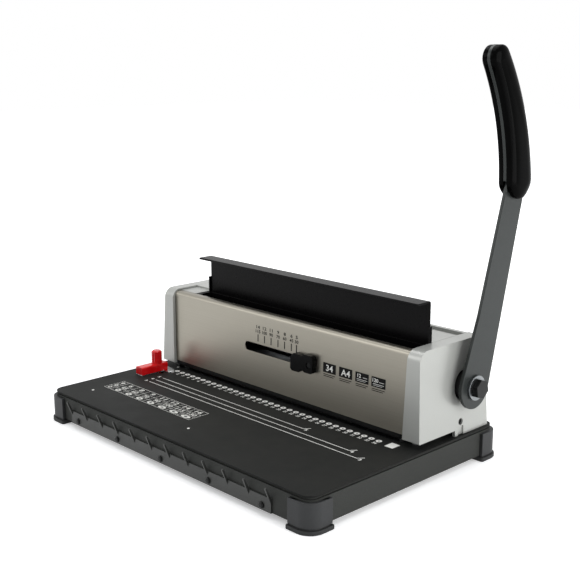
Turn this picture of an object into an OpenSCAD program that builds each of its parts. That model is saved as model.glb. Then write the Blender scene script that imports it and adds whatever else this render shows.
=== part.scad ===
// Wire-comb punching and binding machine: base with paper tray, punch body, closer and side lever.
// Millimetres. Build frame: X along the row of holes (lever on +X), Y to the back, Z up from the
// floor. Y = 0 is the row of printed marks on the tray. place() then centres the whole machine.

/* [Base] */
// Length of the base along X
base_l = 360; // [340:1:400]
// Depth of the base along Y
base_d = 233.5; // [225:0.5:260]
// Row of printed marks to the front edge of the tray
base_front = 125; // [110:1:140]
// Floor to the lower edge of the skirt
skirt_bottom = 4.7; // [4.2:0.1:8]
// Height of the skirt
skirt_h = 22.3; // [18:0.1:30]
// Wall of the skirt
skirt_wall = 2.5; // [1.5:0.1:4]
// Corner radius of tray and skirt
base_corner_r = 10; // [6:0.5:14]
// Shadow groove under the tray plate, height
groove_h = 2; // [0.8:0.1:2.5]
// Shadow groove under the tray plate, depth
groove_in = 1.8; // [1:0.1:2.2]
// Thickness of the tray plate
plate_t = 1.2; // [1:0.1:3]
// Thickness of the bottom plate
bottom_t = 1.5; // [1:0.1:2.5]
// How far the corner pads stand out of the skirt
pad_out = 3.2; // [1.5:0.1:4]
// Length of a corner pad along each side
pad_leg = 21.5; // [18:0.5:30]
// Height of a corner pad
pad_h = 20.7; // [16:0.1:22]
// Height of the rubber foot's flange, below the groove under the pad
foot_h = 3.5; // [2.5:0.1:4]
// How far the foot's flange stands out of the pad
foot_flange = 1.4; // [0.4:0.1:2]
// Posts' distance from the edges of the base
post_in = 13; // [12:0.5:14]
// Diameter of the posts that join bottom plate and tray
post_d = 10; // [8:0.5:14]
// Thread diameter of the base screws
base_screw_d = 3.4; // [3:0.1:5]
// Length of the base screws
base_screw_l = 14; // [8:0.5:16]

/* [Hook strip] */
// Number of hanging hooks
hook_n = 12; // [8:1:14]
// End of the base to the end of the hook strip
strip_in = 38.2; // [34:0.1:60]
// Sheet thickness of the strip
strip_t = 1.5; // [1:0.1:2.5]
// Height of the strip under the hooks
strip_h = 12.3; // [10:0.1:13]
// How far a hook leans out
hook_out = 5.4; // [5:0.1:9]
// How far a hook rises over the strip
hook_rise = 10.4; // [6.5:0.1:11]
// Width of a hook's arm
hook_w = 1.8; // [1.2:0.1:2.6]
// Number of round-head screws in the strip
strip_screw_n = 5; // [3:1:7]
// End of the strip to its last screw
strip_screw_in = 11.1; // [6:0.1:20]
// Lower edge of the strip to its screws
strip_screw_up = 4.1; // [3:0.1:6]
// Head diameter of the strip's screws
strip_screw_head = 5.6; // [4.5:0.1:7]

/* [Body] */
// Left end of the base to the left cap
body_in_left = 7.2; // [4:0.1:12]
// Right end of the base to the right cap
body_in_right = 2.8; // [1:0.1:6]
// Front of the caps behind the printed marks
body_front = 5.7; // [4:0.1:6]
// Depth of the body at the bottom
body_d = 95.3; // [94:0.1:97]
// Height of the body over the tray
body_h = 83.7; // [82:0.1:90]
// Draft of a cap's outer side over its height
cap_draft = 3.6; // [1:0.1:4]
// How far the front leans back over its height
front_lean = 2.2; // [1:0.1:2.4]
// How far the back leans forward over its height
back_lean = 3.5; // [1:0.1:5]
// Width of a cap's front face at its top
cap_w = 13; // [12:0.1:14]
// How much wider a cap's front face is at its bottom
cap_taper = 2.4; // [0:0.1:3]
// Wall of the caps
cap_wall = 3; // [2.4:0.1:3.4]
// Wall of the caps' top
cap_top = 1.6; // [1.2:0.1:2.2]
// Front top corner radius of the caps
cap_r_front = 10; // [5:0.5:12]
// Rear top corner radius of the caps
cap_r_back = 8; // [4:0.5:12]
// Paper throat: height of the caps' front part over the tray
throat_h = 5.4; // [4.5:0.1:6.5]
// Where the cap's raised front part ends, behind the marks
cap_step = 54.4; // [48:0.1:59]
// Lower edge of the front panel over the tray
panel_low = 8; // [7:0.1:9]
// Sheet of front panel and rear cover
sheet_t = 1.2; // [0.8:0.1:1.6]
// Radius of the front panel's top bend
panel_r = 4.5; // [2:0.1:6]
// Gap between the caps' wall and the front panel
panel_gap = 0.3; // [0.2:0.05:0.5]
// Panel ends to the frame plates
panel_end_gap = 0.4; // [0.3:0.1:1]
// Radius of the bore in a cap around the lever's hub
cap_bore_r = 14.7; // [13.5:0.1:16]
// Cap screw, height over the tray
cap_screw_z = 11.9; // [11:0.1:14]
// Cap screw, distance in front of the drive shaft
cap_screw_dy = 6.3; // [2:0.1:7]
// Diameter of the cap screws' holes
cap_screw_hole = 6; // [5:0.1:6.5]
// Width of the moulded channel under the cap screw
cap_channel_w = 7.6; // [6.6:0.1:9]

/* [Rear cover] */
// Back of the cover's top to the recessed channel
rear_groove_in = 9.2; // [7:0.1:12]
// Width of the recessed channel
rear_groove_w = 11; // [6:0.5:12]
// Depth of the recessed channel
rear_groove_h = 3; // [2:0.1:5]
// Height of the lips beside the closing plate
rear_lip = 6; // [3:0.5:8]

/* [Frame] */
// Thickness of the frame plates
frame_t = 4; // [3:0.1:5]
// Body end, at the bottom, to the outer face of a frame plate
frame_inset = 11; // [10.5:0.1:12]
// Diameter of the tie rods
rod_d = 8; // [6:0.5:9]
// Drive shaft behind the printed marks
shaft_y = 68.5; // [67:0.1:70]
// Drive shaft over the tray
shaft_z = 43.5; // [42.5:0.1:45]
// Diameter of the drive shaft
shaft_d = 12; // [10:0.1:13]
// Wall of the bearing bushes
bush_wall = 2; // [1.5:0.1:3]
// Flange of the bearing bushes
bush_flange = 1.2; // [0.8:0.1:1.8]
// Radial running clearance
run_clear = 0.05; // [0.02:0.01:0.1]
// Clearance of pressed and clamped pieces
fit_clear = 0.02; // [0.01:0.01:0.05]
// Clearance between pieces that pass each other
gap_clear = 0.3; // [0.2:0.05:0.4]

/* [Punch] */
// Distance from pin to pin (3 to the inch)
pin_pitch = 8.467; // [7:0.001:8.6]
// Middle of the row off the middle of the base
row_x = -1.7; // [-2:0.1:2]
// Side of a square punch pin
pin_w = 4; // [3:0.1:4.5]
// Sliding clearance of a pin, each side
pin_clear = 0.08; // [0.05:0.01:0.15]
// Pin row behind the printed marks
pin_y = 21.5; // [21.4:0.1:21.8]
// Row of holes to the paper stop
edge_margin = 4.5; // [4.2:0.1:5]
// Thickness of the die plate
die_t = 8; // [6:0.5:9]
// Depth of die and stripper plate
die_d = 21; // [20:0.1:21.5]
// Room that die and bar have past the last pins
die_end = 14.5; // [13.5:0.1:14.8]
// Gap for the paper between die and stripper
paper_gap = 3; // [2:0.1:3.2]
// Thickness of the stripper plate
stripper_t = 5; // [4.5:0.1:5.2]
// Thickness of the punch bar
bar_t = 12; // [10:0.5:12.5]
// Height of the punch bar
bar_h = 16; // [12:0.5:16]
// Air between stripper and bar at full stroke
bar_air = 2; // [1:0.1:2.5]
// How deep a pin sits in the bar
pin_seat = 6; // [3:0.5:8]
// Diameter of the guide posts
guide_d = 8; // [6:0.5:9]
// Guide posts past the middle of the last pins
guide_dx = 8.8; // [8:0.1:9]
// Last pin to the middle of a punch rack
punch_rack_in = 11.7; // [8:0.1:14]
// Width of a punch rack
punch_rack_w = 14; // [10:0.5:15]
// Module of the punch gears
punch_m = 1; // [0.9:0.05:1.05]
// Teeth of a punch pinion
punch_teeth = 18; // [17:1:19]
// Backlash of the gears
backlash = 0.2; // [0.1:0.05:0.3]
// Lever pull in degrees
pull = 88; // [80:1:90]
// Outer diameter of the return springs
spring_d = 12; // [10:0.5:13]
// Wire of the return springs
spring_wire = 1.4; // [1:0.1:1.6]
// Turns of the return springs
spring_turns = 5; // [4:1:6]

/* [Closer] */
// Left cap to the left end of the closing plate
close_in_left = 43.7; // [40:0.1:60]
// Right cap to the right end of the closing plate
close_in_right = 18.6; // [18.6:0.1:30]
// Front face of the closing plate behind the marks
close_y = 37.7; // [37.5:0.1:38.2]
// Sheet of the closing plate
close_t = 2; // [1.5:0.1:2.2]
// Closing plate over the body
close_rise = 36; // [32:0.1:40]
// How deep the closing plate reaches into the body
close_deep = 13.7; // [12:0.1:14]
// Length of the closing plate's lip
lip_w = 15.3; // [10:0.1:16]
// Sheet of the lip
lip_t = 2; // [1.5:0.1:2.2]
// Last pin to the middle of a closing rack
close_rack_in = 31.7; // [29:0.1:40]
// Width of a closing rack
close_rack_w = 10; // [8:0.5:11]
// Module of the closing gears
close_m = 1.2; // [1.1:0.05:1.25]
// Teeth of a closing pinion
close_teeth = 30; // [29:1:31]
// Front edge of the closing channel behind the marks
channel_y = 19.3; // [19:0.1:20]
// Depth of the closing channel under the panels
channel_h = 16; // [12:0.5:17]
// Sheet of the closing channel
channel_t = 1.5; // [1:0.1:2]
// Plate ends to the guide posts
guide_gap = 0.2; // [0.2:0.05:0.5]
// Thickness of the closing plate's guides
close_guide_t = 1.4; // [1:0.1:1.4]
// Closing plate's guides over the body
close_guide_rise = 14; // [8:0.5:18]

/* [Size knob] */
// Middle of the slot over the tray
slot_z = 46.2; // [44:0.1:50]
// Height of the slot
slot_h = 8.8; // [7:0.1:9]
// Left end of the slot from the middle of the base
slot_x0 = -45.4; // [-50:0.1:-35]
// Travel of the knob along the slot
knob_travel = 88.5; // [60:0.5:90]
// Length of the knob
knob_l = 28.7; // [24:0.1:30]
// Screw of the knob to the knob's right end
knob_right = 5.2; // [5:0.1:8]
// Height of the knob
knob_h = 17; // [14:0.1:20]
// How far the knob stands out of the panel
knob_out = 5.2; // [4:0.1:14]
// Thickness of the depth slide behind the panel
slide_t = 3; // [2:0.1:3.2]
// Length of the depth slide
slide_l = 40; // [30:0.5:44]

/* [Edge guide] */
// Left end of the base to the middle of the edge guide
guide_in = 23.5; // [22:0.1:26]
// Rear end of the edge guide in front of the marks
guide_rear = 5; // [4:0.1:8]
// Length of the edge guide
guide_l = 33; // [28:0.5:40]
// Width of the edge guide
guide_w = 11; // [9:0.1:13]
// Height of the edge guide
guide_h = 9; // [7:0.1:11]
// Clamp stud in front of the edge guide's rear end
guide_stud_y = 10; // [9:0.1:14]
// Diameter of the clamp knob
guide_knob_d = 10.8; // [9:0.1:11]
// Height of the clamp knob
guide_knob_h = 13.5; // [10:0.5:16]
// Diameter of the clamp stud
guide_stud_d = 4; // [3:0.1:5]
// Travel of the edge guide to the left
guide_left = 8; // [4:0.5:9]
// Travel of the edge guide to the right
guide_right = 8; // [4:0.5:9]
// Sheet of the guide's steel tongue
tongue_t = 1; // [0.8:0.1:1.5]

/* [Chip drawer] */
// End of the base to the side of the drawer
drawer_in = 30; // [28:0.5:40]
// Height of the drawer's walls
drawer_h = 12.6; // [10:0.1:12.8]
// Wall of the drawer
drawer_wall = 1.8; // [1.2:0.1:2.5]
// Width of the drawer's finger pull
pull_w = 50; // [30:1:80]
// Travel of the drawer to the back
drawer_travel = 90; // [60:1:92]

/* [Lever] */
// Thickness of the lever bar
lever_t = 3.2; // [2.5:0.1:6]
// Cap to lever bar at shaft height
lever_gap = 7.5; // [6.5:0.1:9.5]
// Radius of the bar's lower end
lever_r = 19.2; // [16:0.1:20]
// Shaft to the bend in the bar's front edge, along the lever
lever_bend_v = 62; // [40:1:100]
// Lever line to the bar's front edge at the bend
lever_bend_u = 13.6; // [10:0.1:17]
// Lever line to the bar's front edge at the grip
lever_front = 10.4; // [8:0.1:13]
// Lever line to the bar's rear edge at the grip
lever_rear = 15.3; // [12:0.1:16]
// How far the lever leans back at rest
lever_lean = 15; // [10:0.5:18]
// Shaft to the centre of the grip's arc, along the lever
grip_c_v = 111.7; // [108:0.1:115]
// Lever line to the centre of the grip's arc
grip_c_u = 196.6; // [194:0.1:199]
// Radius of the grip's arc
grip_r = 209.2; // [208:0.1:212]
// Width of the grip at its lower end
grip_w0 = 30.5; // [28:0.5:35]
// Width of the grip at its upper end
grip_w1 = 21.4; // [18:0.1:26]
// Where the grip starts on its arc, degrees
grip_a0 = 18.9; // [18:0.1:22]
// Where the grip ends on its arc, degrees
grip_a1 = 48.8; // [46:0.1:53]
// Thickness of a grip scale
grip_t = 7.5; // [5:0.1:7.5]
// How much the lower end of the grip is flattened at its corners
grip_cut = 0.08; // [0:0.01:0.12]
// Diameter of the grip rivets
rivet_d = 5; // [4:0.1:6]
// Radius of the lever's hub
hub_r = 12; // [10:0.1:12.5]
// Washer under the bolt, diameter
washer_d = 22; // [20:0.1:26]
// Washer under the bolt, thickness
washer_t = 2.4; // [1.5:0.1:3]
// Bolt head across flats
bolt_af = 15.2; // [15:0.1:18]
// Bolt head height
bolt_h = 5.6; // [5:0.1:8]
// Bolt thread diameter
bolt_d = 8; // [6:0.1:8]
// Bolt length in the shaft
bolt_l = 16; // [10:0.5:20]

/* [Hidden] */
$fn = 48;
eps = 0.01;

// heights
skirt_top = skirt_bottom + skirt_h;
plate_low = skirt_top + groove_h;
tray_z = plate_low + plate_t;
floor_z = skirt_bottom + bottom_t;
// plan of the base
base_back = base_d - base_front;
base_y = base_back - base_d / 2;
pad_bottom = skirt_bottom;
pad_r = base_corner_r + pad_out;
post_xy = [for (sx = [-1, 1], y = [-base_front + post_in, -base_front / 2, base_back - post_in])
    [sx * (base_l / 2 - post_in), y]];
// body
body_x0 = body_in_left - base_l / 2;
body_x1 = base_l / 2 - body_in_right;
body_l = body_x1 - body_x0;
body_x = (body_x0 + body_x1) / 2;
body_back = body_front + body_d;
frame_x0 = body_x0 + frame_inset;
frame_x1 = body_x1 - frame_inset;
in_x0 = frame_x0 + frame_t;
in_x1 = frame_x1 - frame_t;
panel_front = body_front + cap_wall + panel_gap;
top_z = tray_z + body_h - cap_top - gap_clear;
frame_y1 = body_back - cap_wall - panel_gap - back_lean - 3;
shaft_h = tray_z + shaft_z;
// lever stack along X
cap_face = body_x1 - cap_draft * shaft_z / body_h;
lever_x = cap_face + lever_gap;
lever_x1 = lever_x + lever_t;
bolt_x = lever_x1 + washer_t;
// punch
// as many pins as fit between the frame plates
pin_n = 1 + floor(2 * (min(row_x - in_x0, in_x1 - row_x) - die_end - gap_clear) / pin_pitch);
row_half = (pin_n - 1) / 2 * pin_pitch;
punch_rack_x = row_half - punch_rack_in;
close_rack_x = row_half - close_rack_in;
punch_r = punch_m * punch_teeth / 2;
stroke = punch_r * pull * PI / 180;
die_y = pin_y - edge_margin - pin_w / 2 - 4;
stripper_z = tray_z + paper_gap;
bar_z = stripper_z + stripper_t + stroke + bar_air;
bar_top = bar_z + bar_h;
pin_tip = stripper_z + 0.6;
punch_rack_y = shaft_y - punch_r;
punch_rack_t = 7.3;
arm_y1 = punch_rack_y - 1.25 * punch_m - punch_rack_t;
spring_y = (pin_y + bar_t / 2 + arm_y1) / 2;
// closer
close_r = close_m * close_teeth / 2;
close_travel = close_r * pull * PI / 180;
close_x0 = body_x0 + close_in_left;
close_x1 = body_x1 - close_in_right;
close_top = tray_z + body_h + close_rise;
close_low = tray_z + body_h - close_deep;
close_back = close_y + close_t;
close_rack_y = shaft_y - close_r;
chan_x0 = close_x0 - guide_gap;
chan_x1 = close_x1 + guide_gap;
chan_y1 = close_y - gap_clear - 0.4;
chan_z = top_z - sheet_t - channel_h;
// tie rods: punch stop, channel rod, rear rod
rod_yz = [[close_y - 1.2 - rod_d / 2, bar_top + gap_clear + rod_d / 2],
    [(channel_y + chan_y1) / 2, chan_z - rod_d / 2], [frame_y1 - rod_d, tray_z + 14]];
// size knob
knob_x = slot_x0 + slot_h / 2 + knob_travel;
slot_x1 = knob_x + slot_h / 2 + gap_clear;
// edge guide
guide_x = guide_in - base_l / 2;
guide_y1 = -guide_rear;
stud_y = guide_y1 - guide_stud_y;
// drawer
drawer_l = base_l - 2 * drawer_in;
drawer_y0 = die_y - 6;
drawer_z = floor_z + gap_clear;
// lever grip, in the lever's own plane: u to the back, v along the lever
function grip_w(a) = grip_w0 + (grip_w1 - grip_w0) * (a - grip_a0) / (grip_a1 - grip_a0);
function grip_pt(a, off) = [-grip_c_u + (grip_r + off) * cos(a), grip_c_v + (grip_r + off) * sin(a)];
grip_back = shaft_y - grip_c_u * cos(lever_lean) + grip_c_v * sin(lever_lean)
    + (grip_r + grip_w0 / 2) * cos(grip_a0 - lever_lean);
// the whole machine is centred on its own box
box_x0 = -base_l / 2 - pad_out - foot_flange;
box_x1 = max(bolt_x + bolt_h, lever_x1 + grip_t);
box_y0 = -base_front - strip_t - hook_out;
box_y1 = max(grip_back, base_back + pad_out + foot_flange);

// ---- helpers ----
module place() translate([-(box_x0 + box_x1) / 2, -(box_y0 + box_y1) / 2, 0]) children();
// outline in (Y, Z), run along X
module run_x(x0, w) translate([x0, 0, 0]) rotate([90, 0, 90]) linear_extrude(w) children();
// outline in (X, Z), run along Y
module run_y(y0, d) translate([0, y0 + d, 0]) rotate([90, 0, 0]) linear_extrude(d) children();
module rod_x(x0, w, y, z, r) translate([x0, y, z]) rotate([0, 90, 0]) cylinder(h = w, r = r);
module box_at(a, b) translate(a) cube(b - a);
function unit(v) = v / norm(v);
// arc that rounds corner p1 between p0 and p2
function corner(p0, p1, p2, r, n) = r <= 0 ? [p1] :
    let (a = unit(p0 - p1), b = unit(p2 - p1), h = acos(a * b) / 2, c = p1 + unit(a + b) * r / sin(h),
        s = p1 + a * r / tan(h) - c, e = p1 + b * r / tan(h) - c, a0 = atan2(s.y, s.x),
        d = atan2(e.y, e.x) - a0, t = d > 180 ? d - 360 : d < -180 ? d + 360 : d)
    [for (i = [0:n]) c + r * [cos(a0 + t * i / n), sin(a0 + t * i / n)]];
function rounded(p, r, n = 8) = let (m = len(p))
    [for (i = [0:m - 1]) each corner(p[(i + m - 1) % m], p[i], p[(i + 1) % m], r[i], n)];
module plan(l, y0, y1, r, inset = 0) {
    translate([-l / 2 + inset, y0 + inset])
        polygon(rounded([[0, 0], [l - 2 * inset, 0], [l - 2 * inset, y1 - y0 - 2 * inset],
            [0, y1 - y0 - 2 * inset]], [for (i = [0:3]) max(r - inset, 0.5)]));
}
module base_plan(inset = 0) plan(base_l, -base_front, base_back, base_corner_r, inset);

// involute gear outline and its rack; the gear has a tooth at 180 degrees, the rack a space
function inv(a) = tan(a) * 180 / PI - a;
function flank(m, n, r) = let (rb = m * n / 2 * cos(20), a = r > rb ? acos(rb / r) : 0)
    (90 - backlash / m * 90 / PI) / n + inv(20) - inv(a);
module gear2d(m, n) {
    rp = m * n / 2;
    steps = [for (k = [0:4]) rp - m + 2 * m * k / 4];
    polygon([for (i = [0:n - 1]) let (c = 180 + i * 360 / n)
        each concat([let (f = flank(m, n, rp - m)) (rp - 1.25 * m) * [cos(c - f), sin(c - f)]],
            [for (r = steps) let (f = flank(m, n, r)) r * [cos(c - f), sin(c - f)]],
            [for (k = [4:-1:0]) let (r = steps[k], f = flank(m, n, r)) r * [cos(c + f), sin(c + f)]],
            [let (f = flank(m, n, rp - m)) (rp - 1.25 * m) * [cos(c + f), sin(c + f)]])]);
}
// rack in (Y, Z): body from yb to the roots, teeth towards +Y, pitch line at yp, a space at zs
module rack2d(m, yb, yp, z0, z1, zs) {
    p = PI * m;
    h = p / 4 - backlash / 4;
    root = yp - 1.25 * m;
    tip = yp + 0.9 * m;
    k = tan(20);
    translate([yb, z0]) square([root - yb, z1 - z0]);
    for (i = [floor((z0 - zs) / p):ceil((z1 - zs) / p)]) let (z = zs + (i + 0.5) * p)
        if (z - p / 2 > z0 && z + p / 2 < z1)
            polygon([[root - eps, z - h - (yp - root) * k], [tip, z - h + (tip - yp) * k],
                [tip, z + h - (tip - yp) * k], [root - eps, z + h + (yp - root) * k]]);
}
module gear(m, n, x0, w) difference() {
    run_x(x0, w) translate([shaft_y, shaft_h]) gear2d(m, n);
    rod_x(x0 - 1, w + 2, shaft_y, shaft_h, shaft_d / 2 + fit_clear);
}

// ---- base ----
module base_frame() color("#3c3d3c") place() difference() {
    union() {
        translate([0, 0, skirt_bottom]) linear_extrude(skirt_h) difference() {
            base_plan();
            base_plan(skirt_wall);
        }
        translate([0, 0, skirt_top - 2]) linear_extrude(groove_h + 2) difference() {
            base_plan(groove_in);
            base_plan(groove_in + skirt_wall);
        }
        for (p = post_xy) translate([p.x, p.y, floor_z]) cylinder(h = plate_low - floor_z, d = post_d);
    }
    for (p = post_xy) translate([p.x, p.y, 0]) cylinder(h = plate_low - 3, d = base_screw_d + 2 * fit_clear);
    for (x = strip_screw_x) translate([x, -base_front + skirt_wall + 1, strip_screw_z]) rotate([90, 0, 0])
        cylinder(h = skirt_wall + 2, d = strip_screw_head / 2 + 2 * fit_clear);
    // drawer mouth at the back
    box_at([-drawer_l / 2 - gap_clear, base_back - skirt_wall - groove_in - 5, floor_z],
        [drawer_l / 2 + gap_clear, base_back + 1, drawer_z + drawer_h + gap_clear]);
}
module bottom_plate() color("#6b6e70") place() difference() {
    translate([0, 0, skirt_bottom]) linear_extrude(bottom_t) base_plan(skirt_wall + gap_clear);
    for (p = post_xy) translate([p.x, p.y, 0]) cylinder(h = floor_z + 1, d = base_screw_d + 2 * fit_clear);
}
module base_screws() color("#9a9c9d") place() for (p = post_xy) translate([p.x, p.y, skirt_bottom]) {
    translate([0, 0, -1.6]) cylinder(h = 1.6, d = 2 * base_screw_d);
    cylinder(h = base_screw_l, d = base_screw_d);
}
module tray_plate() color("#232424") place() difference() {
    translate([0, 0, plate_low]) linear_extrude(plate_t) base_plan();
    // window of the die
    box_at([row_x - row_half - die_end - gap_clear, die_y - gap_clear, 0],
        [row_x + row_half + die_end + gap_clear, die_y + die_d + gap_clear, tray_z + 1]);
    // slot of the edge guide
    slot_cut(guide_x - guide_left, guide_x + guide_right, stud_y, guide_stud_d + 2 * gap_clear);
}
module slot_cut(x0, x1, y, w) {
    box_at([x0, y - w / 2, plate_low - 1], [x1, y + w / 2, tray_z + 1]);
    for (x = [x0, x1]) translate([x, y, plate_low - 1]) cylinder(h = plate_t + 2, d = w);
}
// outline of a corner piece, for the corner at +X, -Y
module corner_plan(out, leg, r) translate([base_l / 2, -base_front])
    polygon(rounded([[-leg, -out], [out, -out], [out, leg], [0, leg], [0, 0], [-leg, 0]],
        [0.4, r, 0.4, 0, base_corner_r, 0]));
// places a piece made for the front right corner on any corner
module at_corner(sx, sy) scale([sx, 1, 1]) translate([0, sy > 0 ? 2 * base_y : 0, 0]) scale([1, -sy, 1])
    children();
module pad_solid() translate([0, 0, pad_bottom]) linear_extrude(pad_h) corner_plan(pad_out, pad_leg, pad_r);
module foot_solid() difference() {
    foot_block();
    translate([base_l / 2 - post_in, -base_front + post_in, -1]) cylinder(h = skirt_bottom + 2,
        d = 2 * base_screw_d + 0.4);
}
module foot_block() {
    linear_extrude(foot_h) foot_plan(pad_out + foot_flange, pad_leg + foot_flange, pad_r + foot_flange);
    translate([0, 0, foot_h - eps]) linear_extrude(pad_bottom - foot_h + eps) foot_plan(pad_out - 1, pad_leg - 1,
        pad_r - 1);
}
module foot_plan(out, leg, r) translate([base_l / 2, -base_front])
    polygon(rounded([[-leg, -out], [out, -out], [out, leg], [-leg, leg]], [2, r, 2, 2]));
module corner_pad_fr() color("#2a2b2b") place() pad_solid();
module corner_pad_fl() color("#2a2b2b") place() at_corner(-1, -1) pad_solid();
module corner_pad_br() color("#2a2b2b") place() at_corner(1, 1) pad_solid();
module corner_pad_bl() color("#2a2b2b") place() at_corner(-1, 1) pad_solid();
module foot_fr() color("#1a1a1a") place() foot_solid();
module foot_fl() color("#1a1a1a") place() at_corner(-1, -1) foot_solid();
module foot_br() color("#1a1a1a") place() at_corner(1, 1) foot_solid();
module foot_bl() color("#1a1a1a") place() at_corner(-1, 1) foot_solid();

// ---- hook strip on the front ----
strip_x = row_x - 1.3;
strip_l = base_l - 2 * strip_in;
hook_pitch = (strip_l - strip_t - 0.3) / (hook_n - 1);
strip_screw_pitch = (strip_l - 2 * strip_screw_in) / (strip_screw_n - 1);
hook_z = skirt_bottom + strip_h;
module hook_strip() color("#343535") place() difference() {
    union() {
        box_at([strip_x - strip_l / 2, -base_front - strip_t, skirt_bottom],
            [strip_x + strip_l / 2, -base_front, hook_z]);
        for (i = [0:hook_n - 1]) let (x = strip_x + (i - (hook_n - 1) / 2) * hook_pitch)
            run_x(x - strip_t / 2, strip_t) translate([-base_front, hook_z]) polygon([[0, -4], [-strip_t, -4],
                [-strip_t - hook_out, hook_rise - 1], [-strip_t - hook_out + 0.6, hook_rise],
                [-strip_t - hook_out + hook_w, hook_rise - 0.6], [-strip_t + 0.4, 0.4], [0, 0]]);
    }
    for (x = strip_screw_x) translate([x, -base_front + 1, strip_screw_z]) rotate([90, 0, 0])
        cylinder(h = 4, d = strip_screw_head / 2 + 2 * fit_clear);
}
strip_screw_x = [for (i = [0:strip_screw_n - 1]) strip_x + 0.3 + (i - (strip_screw_n - 1) / 2)
    * strip_screw_pitch];
strip_screw_z = skirt_bottom + strip_screw_up;
module hook_strip_screws() color("#101010") place() for (x = strip_screw_x)
    translate([x, -base_front - strip_t, strip_screw_z]) rotate([90, 0, 0]) {
        translate([0, 0, -strip_t - skirt_wall]) cylinder(h = strip_t + skirt_wall, d = strip_screw_head / 2);
        cylinder(h = 1, d = strip_screw_head);
        translate([0, 0, 1]) cylinder(h = 0.8, d1 = strip_screw_head, d2 = strip_screw_head * 0.6);
    }

// ---- body shells ----
// side outline of a cap in (Y, Z), grown inwards by w, by t at the top and down by low
module cap_side(w, t, low) {
    k = front_lean / body_h;
    kb = back_lean / body_h;
    polygon(rounded([[body_front + w + k * throat_h, tray_z + throat_h - low],
        [body_front + w + front_lean, tray_z + body_h - t],
        [body_back - w - back_lean, tray_z + body_h - t], [body_back - w + kb * low, tray_z - low],
        [cap_step - w, tray_z - low], [cap_step - w, tray_z + throat_h - low]],
        [0.6, cap_r_front - w, cap_r_back - w, 0, 0, 0], 10));
}
// the half-space outside the plane that leans in by lean over the body's height
module lean_cut(x, lean, s) run_y(body_front - 5, body_d + 10) polygon([
    [x + s * lean / body_h, tray_z - 1], [x + s * 9, tray_z - 1], [x + s * 9, tray_z + body_h + 2],
    [x - s * lean * (body_h + 2) / body_h, tray_z + body_h + 2]]);
module cap(s) {
    xo = body_x + s * body_l / 2;
    xi = xo - s * (cap_draft + cap_w + cap_taper);
    x0 = min(xo, xi);
    difference() {
        run_x(x0, abs(xo - xi)) cap_side(0, 0, 0);
        lean_cut(xo, cap_draft, s);
        lean_cut(xi, cap_taper, -s);
        // hollow
        difference() {
            run_x(x0 - 1, abs(xo - xi) + 2) cap_side(cap_wall, cap_top, 3);
            lean_cut(xo - s * cap_wall, cap_draft, s);
        }
        // screw hole with its moulded channel
        rod_x(xo - s * 20 - 20, 40, shaft_y - cap_screw_dy, tray_z + cap_screw_z, cap_screw_hole / 2);
        run_x(s > 0 ? xo - 1 - cap_draft * cap_screw_z / body_h : xo, 1 + cap_draft * cap_screw_z / body_h)
            translate([shaft_y - cap_screw_dy - cap_channel_w / 2, tray_z - 1])
                square([cap_channel_w, 1 + cap_screw_z - cap_screw_hole / 2 - 0.8]);
        if (s > 0) rod_x(xo - 12, 20, shaft_y, shaft_h, cap_bore_r);
    }
    // screw boss down to the frame plate
    difference() {
        boss_x0 = s > 0 ? frame_x1 : xo + cap_wall - eps + cap_draft * cap_screw_z / body_h;
        boss_x1 = s > 0 ? xo - cap_wall + eps - cap_draft * cap_screw_z / body_h : frame_x0;
        rod_x(boss_x0, boss_x1 - boss_x0, shaft_y - cap_screw_dy, tray_z + cap_screw_z, cap_screw_hole / 2 + 1.8);
        rod_x(boss_x0 - 1, boss_x1 - boss_x0 + 2, shaft_y - cap_screw_dy, tray_z + cap_screw_z,
            cap_screw_hole / 4 + fit_clear);
    }
}
module left_cap() color("#b9bab6") place() cap(-1);
module right_cap() color("#c9cbc7") place() cap(1);
module cap_screws() color("#4a4c4d") place() for (s = [-1, 1]) {
    x = s > 0 ? body_x1 - cap_wall + eps - cap_draft * cap_screw_z / body_h
        : body_x0 + cap_wall - eps + cap_draft * cap_screw_z / body_h;
    rod_x(s > 0 ? frame_x1 - 3 : x, abs(x - (s > 0 ? frame_x1 : frame_x0)) + 3,
        shaft_y - cap_screw_dy, tray_z + cap_screw_z, cap_screw_hole / 4);
    rod_x(s > 0 ? x : x - 1.4, 1.4, shaft_y - cap_screw_dy, tray_z + cap_screw_z, cap_screw_hole / 2 - fit_clear);
}

panel_x0 = in_x0 + panel_end_gap;
panel_x1 = in_x1 - panel_end_gap;
lean_y = front_lean / body_h;
module front_panel() color("#9c988f") place() difference() {
    run_x(panel_x0, panel_x1 - panel_x0) difference() {
        polygon(rounded([[panel_front + lean_y * panel_low, tray_z + panel_low], [panel_front + front_lean, top_z],
            [channel_y, top_z], [channel_y, top_z - rear_lip], [channel_y - sheet_t, top_z - rear_lip],
            [channel_y - sheet_t, top_z - sheet_t], [panel_front + front_lean + sheet_t, top_z - sheet_t],
            [panel_front + lean_y * panel_low + sheet_t, tray_z + panel_low]],
            [0, panel_r, 0.6, 0, 0, 0, panel_r - sheet_t, 0]));
    }
    run_y(0, 30) polygon(rounded([[slot_x0, tray_z + slot_z - slot_h / 2], [slot_x1, tray_z + slot_z - slot_h / 2],
        [slot_x1, tray_z + slot_z + slot_h / 2], [slot_x0, tray_z + slot_z + slot_h / 2]],
        [for (i = [0:3]) slot_h / 2 - eps]));
}
rear_y0 = close_back + gap_clear + 0.2;
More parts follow.
